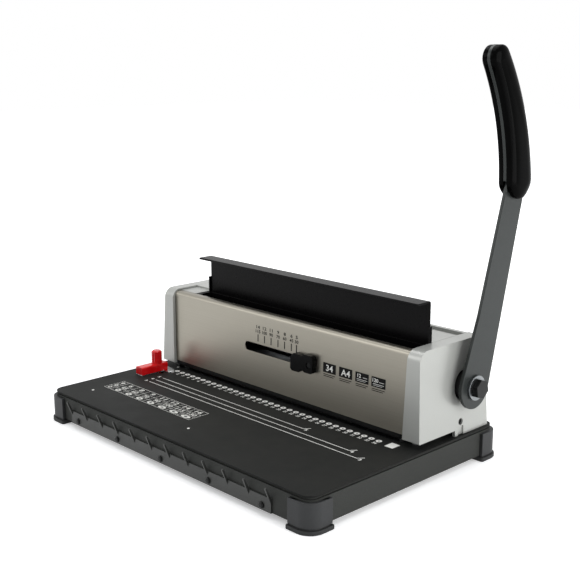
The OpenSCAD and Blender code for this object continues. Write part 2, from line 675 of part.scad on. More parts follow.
// inner edges of the caps at their top
cap_top_x0 = body_x0 + cap_draft + cap_w;
cap_top_x1 = body_x1 - cap_draft - cap_w;
module rear_cover() color("#c2c4c0") place() union() {
    back_top = body_back - cap_wall - panel_gap - back_lean;
    g1 = back_top - rear_groove_in;
    g0 = g1 - rear_groove_w;
    top = tray_z + body_h;
    difference() {
        run_x(panel_x0, panel_x1 - panel_x0) polygon(rounded([[rear_y0, top_z - rear_lip], [rear_y0, top],
            [g0, top], [g0, top - rear_groove_h], [g1, top - rear_groove_h], [g1, top], [back_top, top],
            [back_top + back_lean, tray_z], [back_top + back_lean - sheet_t, tray_z],
            [back_top - sheet_t, top - sheet_t], [g1 + sheet_t, top - sheet_t],
            [g1 + sheet_t, top - rear_groove_h - sheet_t], [g0 - sheet_t, top - rear_groove_h - sheet_t],
            [g0 - sheet_t, top - sheet_t], [rear_y0 + sheet_t, top - sheet_t],
            [rear_y0 + sheet_t, top_z - rear_lip]],
            [0, 0.6, 0, 0, 0, 0, 6, 0, 0, 5, 0, 0, 0, 0, 0, 0]));
        // the top lies between the caps, flush with them; the rest goes on behind them
        for (e = [[panel_x0 - 1, cap_top_x0 + panel_gap], [cap_top_x1 - panel_gap, panel_x1 + 1]])
            box_at([e[0], rear_y0 - 1, top_z], [e[1], body_back, top + 1]);
    }
    // top sheet beside the closing channel, in front of the rear part
    for (e = [[panel_x0, chan_x0 - channel_t - close_guide_t - gap_clear],
        [chan_x1 + channel_t + close_guide_t + gap_clear, panel_x1]])
        if (e[1] - e[0] > 2)
            box_at([e[0], channel_y + gap_clear, top_z - sheet_t], [e[1], rear_y0 + sheet_t, top_z]);
}

// ---- frame ----
module frame_plate(x) difference() {
    run_x(x, frame_t) polygon(rounded([[panel_front + 6, tray_z], [panel_front + 6, top_z - 5],
        [frame_y1, top_z - 5], [frame_y1, tray_z]], [0, 6, 6, 0]));
    rod_x(x - 1, frame_t + 2, shaft_y, shaft_h, shaft_d / 2 + run_clear + bush_wall + fit_clear);
    for (p = rod_yz) rod_x(x - 1, frame_t + 2, p.x, p.y, rod_d / 2 + fit_clear);
    rod_x(x - 1, frame_t + 2, shaft_y - cap_screw_dy, tray_z + cap_screw_z, cap_screw_hole / 4 + fit_clear);
}
module left_frame_plate() color("#8d9092") place() frame_plate(frame_x0);
module right_frame_plate() color("#8d9092") place() frame_plate(in_x1);
module bush(x, s) difference() {
    union() {
        rod_x(x, frame_t, shaft_y, shaft_h, shaft_d / 2 + run_clear + bush_wall);
        rod_x(s > 0 ? x - bush_flange : x + frame_t, bush_flange, shaft_y, shaft_h,
            shaft_d / 2 + run_clear + bush_wall + 2);
    }
    rod_x(x - 5, frame_t + 10, shaft_y, shaft_h, shaft_d / 2 + run_clear);
}
module shaft_bush_left() color("#b08d3c") place() bush(frame_x0, -1);
module shaft_bush_right() color("#b08d3c") place() bush(in_x1, 1);
module tie_rods() color("#a4a7a9") place() for (p = rod_yz)
    rod_x(frame_x0 - 1.5, frame_x1 - frame_x0 + 3, p.x, p.y, rod_d / 2);

// ---- die set ----
set_x0 = row_x - row_half - die_end;
set_x1 = row_x + row_half + die_end;
pin_x = [for (i = [0:pin_n - 1]) row_x + (i - (pin_n - 1) / 2) * pin_pitch];
post_x = [row_x - row_half - guide_dx, row_x + row_half + guide_dx];
module pin_holes(z0, z1) {
    for (x = pin_x) box_at([x - pin_w / 2 - pin_clear, pin_y - pin_w / 2 - pin_clear, z0],
        [x + pin_w / 2 + pin_clear, pin_y + pin_w / 2 + pin_clear, z1]);
}
module post_holes(z0, z1, c) for (x = post_x) translate([x, pin_y, z0]) cylinder(h = z1 - z0, d = guide_d + 2 * c);
module die_plate() color("#7e8183") place() difference() {
    box_at([set_x0, die_y, tray_z - die_t], [set_x1, die_y + die_d, tray_z]);
    pin_holes(tray_z - die_t - 1, tray_z + 1);
    post_holes(tray_z - die_t - 1, tray_z + 1, fit_clear);
}
module paper_stop_bar() color("#85888a") place()
    box_at([set_x0, pin_y + edge_margin, tray_z], [set_x1, die_y + die_d, stripper_z]);
module stripper_plate() color("#7a7d80") place() difference() {
    box_at([set_x0, die_y, stripper_z], [set_x1, die_y + die_d, stripper_z + stripper_t]);
    pin_holes(stripper_z - 1, stripper_z + stripper_t + 1);
    post_holes(stripper_z - 1, stripper_z + stripper_t + 1, fit_clear);
}
module guide_post(x) translate([x, pin_y, tray_z - die_t]) cylinder(h = bar_top + 6 - tray_z + die_t, d = guide_d);
module guide_post_left() color("#b4b7b9") place() guide_post(post_x[0]);
module guide_post_right() color("#b4b7b9") place() guide_post(post_x[1]);

// ---- closing channel and its guides ----
module anvil_channel() color("#151515") place() difference() {
    box_at([chan_x0, channel_y + gap_clear, chan_z], [chan_x1, chan_y1, top_z - gap_clear]);
    box_at([chan_x0 + channel_t, channel_y + gap_clear + channel_t, chan_z + channel_t],
        [chan_x1 - channel_t, chan_y1 - channel_t, top_z + 1]);
    // fine teeth in the front edge, one for each ring
    for (i = [0:pin_n - 2]) let (x = (chan_x0 + chan_x1) / 2 + (i - (pin_n - 2) / 2) * pin_pitch)
        box_at([x - 1.4, channel_y - 1, top_z - 3], [x + 1.4, channel_y + channel_t + 1, top_z + 1]);
}
module closing_guide(x) box_at([x, close_y - 2, chan_z], [x + close_guide_t, rear_y0 - gap_clear / 3,
    tray_z + body_h + close_guide_rise]);
module closing_guide_left() color("#131314") place() closing_guide(chan_x0 - close_guide_t);
module closing_guide_right() color("#131314") place() closing_guide(chan_x1);

// ---- return springs: a round wire swept along a helix ----
module spring(x) {
    r = spring_d / 2 - spring_wire / 2;
    w = spring_wire / 2;
    z0 = tray_z + w + 0.1;
    h = bar_z - tray_z - 2 * w - 0.2;
    per = 20;
    n = spring_turns * per;
    k = 8;
    pts = [for (i = [0:n], j = [0:k - 1]) let (a = i * 360 / per, b = j * 360 / k, rr = r + w * cos(b))
        [x + rr * cos(a), spring_y + rr * sin(a), z0 + h * i / n + w * sin(b)]];
    faces = concat([[for (j = [0:k - 1]) j]], [[for (j = [k - 1:-1:0]) n * k + j]],
        [for (i = [0:n - 1], j = [0:k - 1]) [i * k + j, i * k + k + j, i * k + k + (j + 1) % k,
            i * k + (j + 1) % k]]);
    polyhedron(points = pts, faces = faces);
}
module return_spring_left() color("#9ea1a3") place() spring(row_x - punch_rack_x);
module return_spring_right() color("#9ea1a3") place() spring(row_x + punch_rack_x);

// ---- what turns with the lever ----
module drive_shaft() color("#9b9ea0") place() difference() {
    rod_x(frame_x0 - 1.5, lever_x1 - frame_x0 + 1.5, shaft_y, shaft_h, shaft_d / 2);
    rod_x(lever_x1 - bolt_l, bolt_l + 1, shaft_y, shaft_h, bolt_d / 2 + fit_clear);
}
module punch_pinion_left() color("#8a8d90") place()
    gear(punch_m, punch_teeth, row_x - punch_rack_x - punch_rack_w / 2 + 1, punch_rack_w - 2);
module punch_pinion_right() color("#8a8d90") place()
    gear(punch_m, punch_teeth, row_x + punch_rack_x - punch_rack_w / 2 + 1, punch_rack_w - 2);
module closing_pinion_left() color("#8a8d90") place()
    gear(close_m, close_teeth, row_x - close_rack_x - close_rack_w / 2 + 1, close_rack_w - 2);
module closing_pinion_right() color("#8a8d90") place()
    gear(close_m, close_teeth, row_x + close_rack_x - close_rack_w / 2 + 1, close_rack_w - 2);
module lever_hub() color("#1d1e1e") place() difference() {
    rod_x(frame_x1 + gap_clear, lever_x - frame_x1 - gap_clear, shaft_y, shaft_h, hub_r);
    rod_x(frame_x1 - 1, lever_x - frame_x1 + 2, shaft_y, shaft_h, shaft_d / 2 + fit_clear);
}
// outline in the lever's plane, turned to its rest lean
module in_lever(x, w) translate([x, shaft_y, shaft_h]) rotate([-lever_lean, 0, 0]) rotate([90, 0, 90])
    linear_extrude(w) children();
grip_n = 14;
grip_end = grip_pt(grip_a1, 0);
module grip_outline(inset) {
    polygon(concat([for (i = [0:grip_n]) let (a = grip_a0 + (grip_a1 - grip_a0) * i / grip_n)
            grip_pt(a, grip_w(a) / 2 - inset)],
        [for (i = [1:7]) let (b = grip_a1 + i * 22.5) grip_end + (grip_w1 / 2 - inset) * [cos(b), sin(b)]],
        [for (i = [grip_n:-1:0]) let (a = grip_a0 + (grip_a1 - grip_a0) * i / grip_n)
            grip_pt(a, -grip_w(a) / 2 + inset)],
        [for (i = [1:11]) let (b = i * 15, k = 1 - grip_cut * pow(sin(2 * b), 2))
            grip_pt(grip_a0, 0) - (grip_w0 / 2 - inset) * k * [cos(b + grip_a0), sin(b + grip_a0)]]));
}
rivet_at = [for (a = [grip_a0 + 4, grip_a1 - 5]) grip_pt(a, 0)];
// where a line from p touches the circle of radius r around the shaft, on side s
function touch(p, r, s) = let (a = atan2(p.y, p.x) + s * acos(r / norm(p))) r * [cos(a), sin(a)];
module lever_bar() color("#5b5f61") place() difference() {
    in_lever(lever_x, lever_t) {
        circle(r = lever_r);
        bend = [-lever_bend_u, lever_bend_v];
        top = grip_pt(grip_a0 + 1, 0).y;
        front = [-lever_front, top];
        rear = [lever_rear, top];
        polygon([touch(rear, lever_r, -1), rear, front, bend, touch(bend, lever_r, 1)]);
        intersection() {
            grip_outline(0);
            polygon(concat([for (i = [0:grip_n]) let (a = grip_a0 + 0.5 + (grip_a1 - grip_a0 + 24) * i / grip_n)
                grip_pt(a, 40)], [for (i = [grip_n:-1:0])
                    let (a = grip_a0 + 0.5 + (grip_a1 - grip_a0 + 24) * i / grip_n) grip_pt(a, -40)]));
        }
    }
    rod_x(lever_x - 1, lever_t + 2, shaft_y, shaft_h, shaft_d / 2 + fit_clear);
    in_lever(lever_x - 1, lever_t + 2) for (p = rivet_at) translate(p) circle(d = rivet_d + 2 * fit_clear);
}
// a grip scale in steps that round its edge
module scale_solid(s) {
    steps = [[0, 0.4], [0.45, 0], [0.8, 1.2], [1, 3]];
    for (i = [0:2]) let (t0 = steps[i][0] * grip_t, t1 = steps[i + 1][0] * grip_t, q = steps[i + 1][1])
        in_lever(s > 0 ? lever_x1 + t0 : lever_x - t1, t1 - t0) grip_outline(i == 0 ? 0 : q);
}
module grip_scale(s) difference() {
    scale_solid(s);
    in_lever(s > 0 ? lever_x1 - 1 : lever_x - grip_t * 0.6, 1 + grip_t * 0.6)
        for (p = rivet_at) translate(p) circle(d = rivet_d + 2 * fit_clear);
}
module grip_outer_scale() color("#0c0c0d") place() grip_scale(1);
module grip_inner_scale() color("#0c0c0d") place() grip_scale(-1);
module grip_rivets() color("#8a8c8e") place() for (p = rivet_at)
    in_lever(lever_x - grip_t * 0.6, lever_t + 1.2 * grip_t) translate(p) circle(d = rivet_d);
module lever_washer() color("#b9bcbe") place() difference() {
    rod_x(lever_x1, washer_t, shaft_y, shaft_h, washer_d / 2);
    rod_x(lever_x1 - 1, washer_t + 2, shaft_y, shaft_h, bolt_d / 2 + 0.2);
}
module lever_bolt() color("#141414") place() {
    translate([bolt_x, shaft_y, shaft_h]) rotate([0, 90, 0]) rotate(11)
        cylinder(h = bolt_h, r = bolt_af / 2 / cos(30), $fn = 6);
    rod_x(lever_x1 - bolt_l + 1, bolt_l - 1 + washer_t, shaft_y, shaft_h, bolt_d / 2);
}

// ---- punch slide ----
module punch_bar() color("#74777a") place() difference() {
    union() {
        box_at([set_x0, pin_y - bar_t / 2, bar_z], [set_x1, pin_y + bar_t / 2, bar_top]);
        for (s = [-1, 1]) let (x = row_x + s * punch_rack_x)
            box_at([x - punch_rack_w / 2, pin_y, bar_z], [x + punch_rack_w / 2, arm_y1, bar_top]);
    }
    for (x = pin_x) box_at([x - pin_w / 2 - fit_clear, pin_y - pin_w / 2 - fit_clear, bar_z - 1],
        [x + pin_w / 2 + fit_clear, pin_y + pin_w / 2 + fit_clear, bar_z + pin_seat]);
    post_holes(bar_z - 1, bar_top + 1, run_clear);
}
module punch_pins() color("#c3c6c8") place() for (x = pin_x)
    box_at([x - pin_w / 2, pin_y - pin_w / 2, pin_tip], [x + pin_w / 2, pin_y + pin_w / 2, bar_z + pin_seat]);
module punch_rack(s) run_x(row_x + s * punch_rack_x - punch_rack_w / 2, punch_rack_w)
    rack2d(punch_m, arm_y1, punch_rack_y, bar_z, shaft_h + stroke + 3 * punch_m, shaft_h);
module punch_rack_left() color("#8f9294") place() punch_rack(-1);
module punch_rack_right() color("#8f9294") place() punch_rack(1);

// ---- closer ----
module closing_plate() color("#0f0f10") place() run_x(close_x0, close_x1 - close_x0) polygon(rounded([
    [close_y, close_low], [close_y, close_top - lip_t], [close_y - lip_w, close_top - lip_t],
    [close_y - lip_w, close_top], [close_back, close_top], [close_back, close_low]],
    [0, 0.6, 0.4, 0.4, close_t, 0], 5));
module closing_rack(s) run_x(row_x + s * close_rack_x - close_rack_w / 2, close_rack_w)
    rack2d(close_m, close_back, close_rack_y, shaft_h - 6 * close_m, top_z - rear_lip - gap_clear, shaft_h);
module closing_rack_left() color("#8f9294") place() closing_rack(-1);
module closing_rack_right() color("#8f9294") place() closing_rack(1);

// ---- size knob: face at rest against the panel, neck through the slot ----
knob_face = panel_front + lean_y * (slot_z - knob_h / 2) - gap_clear - knob_out;
module size_knob() color("#111112") place() difference() {
    union() {
        // two lobes with a waist between them
        run_y(knob_face, knob_out) translate([knob_x + knob_right - knob_l, tray_z + slot_z - knob_h / 2 - 0.6])
            polygon(rounded([[0, 2], [2, 0], [11, 0], [14, 2.6], [16.5, 2.6], [18.5, 1.6], [knob_l, 1.6],
                [knob_l, knob_h + 1.6], [18, knob_h + 1.6], [14.5, knob_h - 0.8], [11, knob_h], [4, knob_h],
                [0, knob_h - 4]], [1, 1, 2, 1.5, 1, 1, 2.6, 2.6, 2, 2, 2, 2, 1.5], 5));
        // neck
        run_y(knob_face + knob_out - 1, gap_clear + sheet_t + gap_clear + 2.6)
            translate([knob_x, tray_z + slot_z]) circle(d = slot_h - 2 * gap_clear);
    }
    // bore of the knob's screw
    translate([knob_x, knob_face - 1, tray_z + slot_z]) rotate([-90, 0, 0]) cylinder(h = 3, d = 6);
    translate([knob_x, knob_face - 1, tray_z + slot_z]) rotate([-90, 0, 0]) cylinder(h = 40, d = 3 + 2 * fit_clear);
}
slide_y = panel_front + lean_y * (slot_z + slot_h) + sheet_t + 2 * gap_clear;
module size_knob_screw() color("#77797a") place() translate([knob_x, knob_face + 2, tray_z + slot_z])
    rotate([-90, 0, 0]) {
        translate([0, 0, -1.2]) cylinder(h = 1.2, d = 5.4);
        cylinder(h = slide_y + slide_t - knob_face - 2, d = 3);
    }
// stepped slide that limits the closing depth
module depth_slide() color("#6f7274") place() difference() {
    run_y(slide_y, slide_t) translate([knob_x, tray_z + slot_z]) polygon([[-slide_l / 2, -6], [slide_l / 2, -6],
        [slide_l / 2, 7], [slide_l / 4, 7], [slide_l / 4, 5], [0, 5], [0, 3], [-slide_l / 4, 3],
        [-slide_l / 4, 1], [-slide_l / 2, 1]]);
    translate([knob_x, slide_y - 1, tray_z + slot_z]) rotate([-90, 0, 0]) cylinder(h = slide_t + 2,
        d = slot_h - 2 * gap_clear + 2 * fit_clear);
}

// ---- edge guide ----
block_z = tray_z + gap_clear / 3;
module edge_guide_block() color("#b3060c") place() difference() {
    run_y(guide_y1 - guide_l, guide_l) translate([guide_x, block_z]) polygon(rounded([[-guide_w / 2, tongue_t],
        [guide_w / 2, tongue_t], [guide_w / 2, guide_h], [-guide_w / 2, guide_h]], [0, 0, 1.6, 1.6], 5));
    translate([guide_x, stud_y, block_z - 1]) cylinder(h = guide_h + 2, d = guide_stud_d + 2 * run_clear);
}
module edge_guide_tongue() color("#b8bbbd") place() difference() {
    translate([guide_x, guide_y1, block_z]) linear_extrude(tongue_t) polygon(rounded([
        [-guide_w / 2, -guide_l], [guide_w / 2, -guide_l], [guide_w / 2, -6], [guide_w / 2 + 7.5, -5.5],
        [guide_w / 2 + 10, 0.5], [guide_w / 2 + 4, 5], [-guide_w / 2 + 4, 6.5], [-guide_w / 2, 2]],
        [0, 0, 0, 1, 1.5, 1.5, 1.5, 1]));
    translate([guide_x, stud_y, tray_z - 1]) cylinder(h = 6, d = guide_stud_d + 2 * run_clear);
}
// ribbed knob, its stud and the clamp plate under the tray
module edge_guide_knob() color("#c00a10") place() translate([guide_x, stud_y, 0]) {
    top = block_z + guide_h;
    translate([0, 0, top + gap_clear / 3]) linear_extrude(guide_knob_h - 1.2) polygon([for (i = [0:47])
        (guide_knob_d / 2 - (i % 4 < 2 ? 0 : 0.45)) * [cos(i * 7.5), sin(i * 7.5)]]);
    translate([0, 0, top + gap_clear / 3 + guide_knob_h - 1.2]) cylinder(h = 1.2, d1 = guide_knob_d - 0.9,
        d2 = guide_knob_d - 3);
    translate([0, 0, plate_low - 4]) cylinder(h = top + 1 - plate_low + 4, d = guide_stud_d);
    translate([0, 0, plate_low - 2.5 - gap_clear]) cylinder(h = 2.5, d = guide_stud_d + 5);
}

// ---- chip drawer ----
module chip_drawer() color("#1f2020") place() {
    x = drawer_l / 2;
    y1 = base_back - gap_clear;
    difference() {
        box_at([-x, drawer_y0, drawer_z], [x, y1, drawer_z + drawer_h]);
        box_at([-x + drawer_wall, drawer_y0 + drawer_wall, drawer_z + drawer_wall],
            [x - drawer_wall, y1 - drawer_wall - 1, drawer_z + drawer_h + 1]);
        // finger pull
        run_x(-pull_w / 2, pull_w) polygon([[y1 - 1.6, drawer_z + 2.5], [y1 + 1, drawer_z + 2.5], [y1 + 1, drawer_z + 8],
            [y1 - 1.6, drawer_z + 9.5]]);
    }
}

base_frame();
bottom_plate();
tray_plate();
corner_pad_fl();
corner_pad_fr();
corner_pad_bl();
corner_pad_br();
foot_fl();
foot_fr();
foot_bl();
foot_br();
hook_strip();
hook_strip_screws();
base_screws();
front_panel();
left_cap();
right_cap();
rear_cover();
cap_screws();
left_frame_plate();
right_frame_plate();
shaft_bush_left();
shaft_bush_right();
tie_rods();
die_plate();
paper_stop_bar();
stripper_plate();
guide_post_left();
guide_post_right();
anvil_channel();
closing_guide_left();
closing_guide_right();
return_spring_left();
return_spring_right();
drive_shaft();
punch_pinion_left();
punch_pinion_right();
closing_pinion_left();
closing_pinion_right();
lever_hub();
lever_bar();
grip_inner_scale();
grip_outer_scale();
grip_rivets();
lever_washer();
lever_bolt();
punch_bar();
punch_pins();
punch_rack_left();
punch_rack_right();
closing_plate();
closing_rack_left();
closing_rack_right();
size_knob();
size_knob_screw();
depth_slide();
edge_guide_block();
edge_guide_tongue();
edge_guide_knob();
chip_drawer();
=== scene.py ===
"""Looks of the wire binding machine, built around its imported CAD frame.

Every length that is written with MM is a real millimetre of the machine.
"""

from __future__ import annotations

import logging
import math
from collections.abc import Callable, Iterable, Sequence
from dataclasses import dataclass, field
from enum import Enum

import bmesh
import bpy
from mathutils import Euler, Matrix, Vector


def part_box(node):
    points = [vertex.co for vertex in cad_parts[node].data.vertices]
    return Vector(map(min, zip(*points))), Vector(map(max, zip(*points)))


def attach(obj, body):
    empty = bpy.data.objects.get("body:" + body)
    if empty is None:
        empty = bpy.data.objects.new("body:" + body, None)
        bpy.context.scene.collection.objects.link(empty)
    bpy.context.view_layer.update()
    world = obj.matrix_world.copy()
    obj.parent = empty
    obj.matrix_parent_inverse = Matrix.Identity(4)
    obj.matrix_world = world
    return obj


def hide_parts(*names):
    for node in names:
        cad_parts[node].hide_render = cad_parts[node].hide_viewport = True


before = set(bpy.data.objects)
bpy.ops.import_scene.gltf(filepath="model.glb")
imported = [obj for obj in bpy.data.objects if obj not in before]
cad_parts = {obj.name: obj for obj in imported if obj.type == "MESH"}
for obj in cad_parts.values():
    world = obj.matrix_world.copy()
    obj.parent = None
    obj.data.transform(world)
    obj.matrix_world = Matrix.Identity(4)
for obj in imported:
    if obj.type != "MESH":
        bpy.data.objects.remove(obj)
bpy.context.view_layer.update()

MM = 0.001
LOG = logging.getLogger("binding_machine")
Point2 = tuple[float, float]
Point3 = tuple[float, float, float]
Face = Sequence[int]


class Body(str, Enum):
    """Moving groups of the frame that a piece can ride on."""

    MACHINE = "machine"
    LEVER = "lever"
    CLOSER = "closer"
    SETTING = "size_setting"
    GUIDE = "edge_guide"
    CLAMP = "edge_guide_clamp"
    DRAWER = "drawer"


class Slot(str, Enum):
    """Material slots of the record that a new piece takes its finish from."""

    TRAY = "tray_black"
    BASE = "body_steel"
    SHEET = "brushed_sheet"
    CAP = "cap_silver"
    BLACK_STEEL = "black_steel"
    GREY_STEEL = "grey_steel"
    BARE = "bare_steel"
    ZINC = "zinc_steel"
    BRASS = "brass"
    GLOSS_BLACK = "black_plastic"
    MATTE_BLACK = "matte_black_plastic"
    RED = "red_plastic"
    RUBBER = "rubber"


def linear(code: str) -> tuple[float, float, float, float]:
    """Turn an sRGB hex colour into the linear colour that shaders take.

    Args:
        code: Colour as six hex digits with a leading #.

    Returns:
        Linear red, green, blue and an alpha of 1.
    """
    parts = [int(code[i : i + 2], 16) / 255 for i in (1, 3, 5)]
    red, green, blue = (
        c / 12.92 if c <= 0.04045 else ((c + 0.055) / 1.055) ** 2.4 for c in parts
    )
    return red, green, blue, 1.0


# ---------------------------------------------------------------- shader graph


class Graph:
    """A material with its Principled shader and short ways to add nodes."""

    def __init__(self, name: str, color: str, **sockets: float) -> None:
        """Make the material and set what is the same all over it.

        Args:
            name: Name of the material, its real stuff and process.
            color: Base colour as sRGB hex.
            **sockets: Values for the shader's sockets, underscores for spaces.
        """
        self.material = bpy.data.materials.new(name)
        self.material.use_nodes = True
        self.tree = self.material.node_tree
        self.shader = self.tree.nodes["Principled BSDF"]
        self.shader.inputs["Base Color"].default_value = linear(color)
        self.material.diffuse_color = linear(color)
        for key, value in sockets.items():
            self.shader.inputs[key.replace("_", " ")].default_value = value

    def node(
        self, kind: str, links: dict[str, object] | None = None, **settings: object
    ) -> bpy.types.Node:
        """Add one node with its settings and links.

        Args:
            kind: Blender's node type.
            links: Input name to the socket that feeds it, or to a plain value.
            **settings: Attributes of the node.

        Returns:
            The new node.
        """
        made = self.tree.nodes.new(kind)
        for key, value in settings.items():
            setattr(made, key, value)
        for key, value in (links or {}).items():
            if isinstance(value, bpy.types.NodeSocket):
                self.tree.links.new(value, made.inputs[key])
            else:
                made.inputs[key].default_value = value
        return made

    def place(self, scale: Point3) -> bpy.types.NodeSocket:
        """Give object coordinates in metres, stretched per axis.

        Args:
            scale: Factor along X, Y and Z; 1 / size of the pattern in metres.

        Returns:
            Vector socket for a texture.
        """
        coords = self.node("ShaderNodeTexCoord")
        mapped = self.node(
            "ShaderNodeMapping", {"Vector": coords.outputs["Object"], "Scale": scale}
        )
        return mapped.outputs["Vector"]

    def noise(
        self, scale: Point3, detail: float = 3.0, rough: float = 0.55
    ) -> bpy.types.NodeSocket:
        """Add noise whose grain is 1 / scale metres.

        Args:
            scale: Grains per metre along each axis.
            detail: Octaves of the noise.
            rough: Strength of the finer octaves.

        Returns:
            The noise's value.
        """
        made = self.node(
            "ShaderNodeTexNoise",
            {"Vector": self.place(scale), "Scale": 1.0, "Detail": detail, "Roughness": rough},
        )
        return made.outputs["Fac"]

    def ramp(
        self,
        value: bpy.types.NodeSocket,
        low: float,
        high: float,
        out_low: float = 0.0,
        out_high: float = 1.0,
    ) -> bpy.types.NodeSocket:
        """Map a value's range to another range.

        Args:
            value: Input.
            low: Input that gives out_low.
            high: Input that gives out_high.
            out_low: Lowest result.
            out_high: Highest result.

        Returns:
            The mapped value, clamped.
        """
        made = self.node(
            "ShaderNodeMapRange",
            {
                "Value": value,
                "From Min": low,
                "From Max": high,
                "To Min": out_low,
                "To Max": out_high,
            },
        )
        return made.outputs["Result"]

    def tint(self, value: bpy.types.NodeSocket, dark: str, light: str) -> None:
        """Drive the base colour between two tones.

        Args:
            value: 0 gives dark, 1 gives light.
            dark: sRGB hex of the darker tone.
            light: sRGB hex of the lighter tone.
        """
        mix = self.node("ShaderNodeMix", {"Factor": value}, data_type="RGBA")
        mix.inputs["A"].default_value = linear(dark)
        mix.inputs["B"].default_value = linear(light)
        self.tree.links.new(mix.outputs["Result"], self.shader.inputs["Base Color"])

    def rough(self, value: bpy.types.NodeSocket) -> None:
        """Drive the roughness with a value.

        Args:
            value: Roughness between 0 and 1.
        """
        self.tree.links.new(value, self.shader.inputs["Roughness"])

    def bump(self, height: bpy.types.NodeSocket, depth_mm: float, strength: float = 1.0) -> None:
        """Add relief of a real depth.

        Args:
            height: Height between 0 and 1.
            depth_mm: Depth of the relief in millimetres.
            strength: How much of the relief shows.
        """
        made = self.node(
            "ShaderNodeBump",
            {"Height": height, "Distance": depth_mm * MM, "Strength": strength},
        )
        self.tree.links.new(made.outputs["Normal"], self.shader.inputs["Normal"])


# -------------------------------------------------------------------- finishes


@dataclass(frozen=True)
class Finish:
    """A surface finish; its material is made once and shared."""

    name: str
    slot: Slot

    def build(self) -> bpy.types.Material:
        """Make the material.

        Returns:
            The new material.
        """
        raise NotImplementedError

    @property
    def material(self) -> bpy.types.Material:
        """Shared material of this finish.

        Returns:
            The material, made at its first use.
        """
        return bpy.data.materials.get(self.name) or self.build()


@dataclass(frozen=True)
class BrushedSheet(Finish):
    """Sheet steel with long brushing along X under a thin clear coat."""

    tone: str = "#949086"
    dark: str = "#8a867c"
    roughness: float = 0.37

    def build(self) -> bpy.types.Material:
        """Make fine lines along X that vary tone, gloss and relief.

        Returns:
            The new material.
        """
        g = Graph(self.name, self.tone, Metallic=1.0, Roughness=self.roughness)
        lines = g.noise((3.0, 4200.0, 4200.0), 5.0, 0.65)  # hair-fine scratches, long along X
        broad = g.noise((1.2, 260.0, 260.0), 2.0)  # bands a few millimetres wide
        g.tint(g.ramp(lines, 0.25, 0.75), self.dark, self.tone)
        g.rough(g.ramp(broad, 0.2, 0.8, self.roughness - 0.01, self.roughness + 0.015))
        g.bump(lines, 0.004, 0.4)
        return g.material


@dataclass(frozen=True)
class SilverPaint(Finish):
    """Satin silver paint with fine metal flake over moulded or sheet caps."""

    tone: str = "#abaca8"
    roughness: float = 0.32

    def build(self) -> bpy.types.Material:
        """Make a metallic tone with flake and a slight orange-peel relief.

        Returns:
            The new material.
        """
        g = Graph(self.name, self.tone, Metallic=0.3, Roughness=self.roughness)
        flake = g.noise((9000.0, 9000.0, 9000.0), 1.0)
        peel = g.noise((420.0, 420.0, 420.0), 2.0)
        g.tint(g.ramp(flake, 0.3, 0.7), "#a1a29e", self.tone)
        g.rough(g.ramp(peel, 0.3, 0.7, self.roughness - 0.02, self.roughness + 0.03))
        g.bump(peel, 0.005, 0.3)
        return g.material


@dataclass(frozen=True)
class PowderCoat(Finish):
    """Fine-textured powder coat with a grain of a few tenths of a millimetre."""

    tone: str = "#2b2c2b"
    light: str = "#323332"
    grain_mm: float = 0.45
    roughness: float = 0.6
    relief_mm: float = 0.03
    gloss: float = 0.1

    def build(self) -> bpy.types.Material:
        """Make the grain, its tone and faint wide cloudiness.

        Returns:
            The new material.
        """
        g = Graph(self.name, self.tone, Roughness=self.roughness, Specular_IOR_Level=self.gloss)
        per_m = 1 / (self.grain_mm * MM)
        grain = g.noise((per_m, per_m, per_m), 2.0)
        cloud = g.noise((22.0, 22.0, 22.0), 3.0)
        g.tint(g.ramp(grain, 0.3, 0.7), self.tone, self.light)
        g.rough(g.ramp(cloud, 0.3, 0.7, self.roughness - 0.05, self.roughness + 0.05))
        g.bump(grain, self.relief_mm, 0.6)
        return g.material


@dataclass(frozen=True)
class SmoothPaint(Finish):
    """Smooth sprayed paint with a soft orange peel."""

    tone: str = "#5c605e"
    dark: str = "#565a58"
    roughness: float = 0.35
    metallic: float = 0.0
    gloss: float = 0.3

    def build(self) -> bpy.types.Material:
        """Make the tone, the peel and fine dust specks.

        Returns:
            The new material.
        """
        g = Graph(
            self.name,
            self.tone,
            Roughness=self.roughness,
            Metallic=self.metallic,
            Specular_IOR_Level=self.gloss,
        )
        peel = g.noise((600.0, 600.0, 600.0), 2.0)
        speck = g.noise((5000.0, 5000.0, 5000.0), 1.0)
        g.tint(g.ramp(speck, 0.35, 0.65), self.dark, self.tone)
        g.rough(g.ramp(peel, 0.3, 0.7, self.roughness - 0.04, self.roughness + 0.04))
        g.bump(peel, 0.015, 0.4)
        return g.material


@dataclass(frozen=True)
class GroundSteel(Finish):
    """Bare machined steel with fine grinding marks."""

    tone: str = "#a9abac"
    dark: str = "#8f9193"
    roughness: float = 0.32
    grain: Point3 = (60.0, 2600.0, 2600.0)
    metallic: float = 1.0

    def build(self) -> bpy.types.Material:
        """Make grinding lines, oil-darkened clouds and a light relief.

        Returns:
            The new material.
        """
        g = Graph(self.name, self.tone, Metallic=self.metallic, Roughness=self.roughness)
        lines = g.noise(self.grain, 4.0)
        cloud = g.noise((60.0, 60.0, 60.0), 3.0)
        g.tint(g.ramp(cloud, 0.3, 0.7), self.dark, self.tone)
        g.rough(g.ramp(lines, 0.25, 0.75, self.roughness - 0.07, self.roughness + 0.1))
        g.bump(lines, 0.01, 0.5)
        return g.material


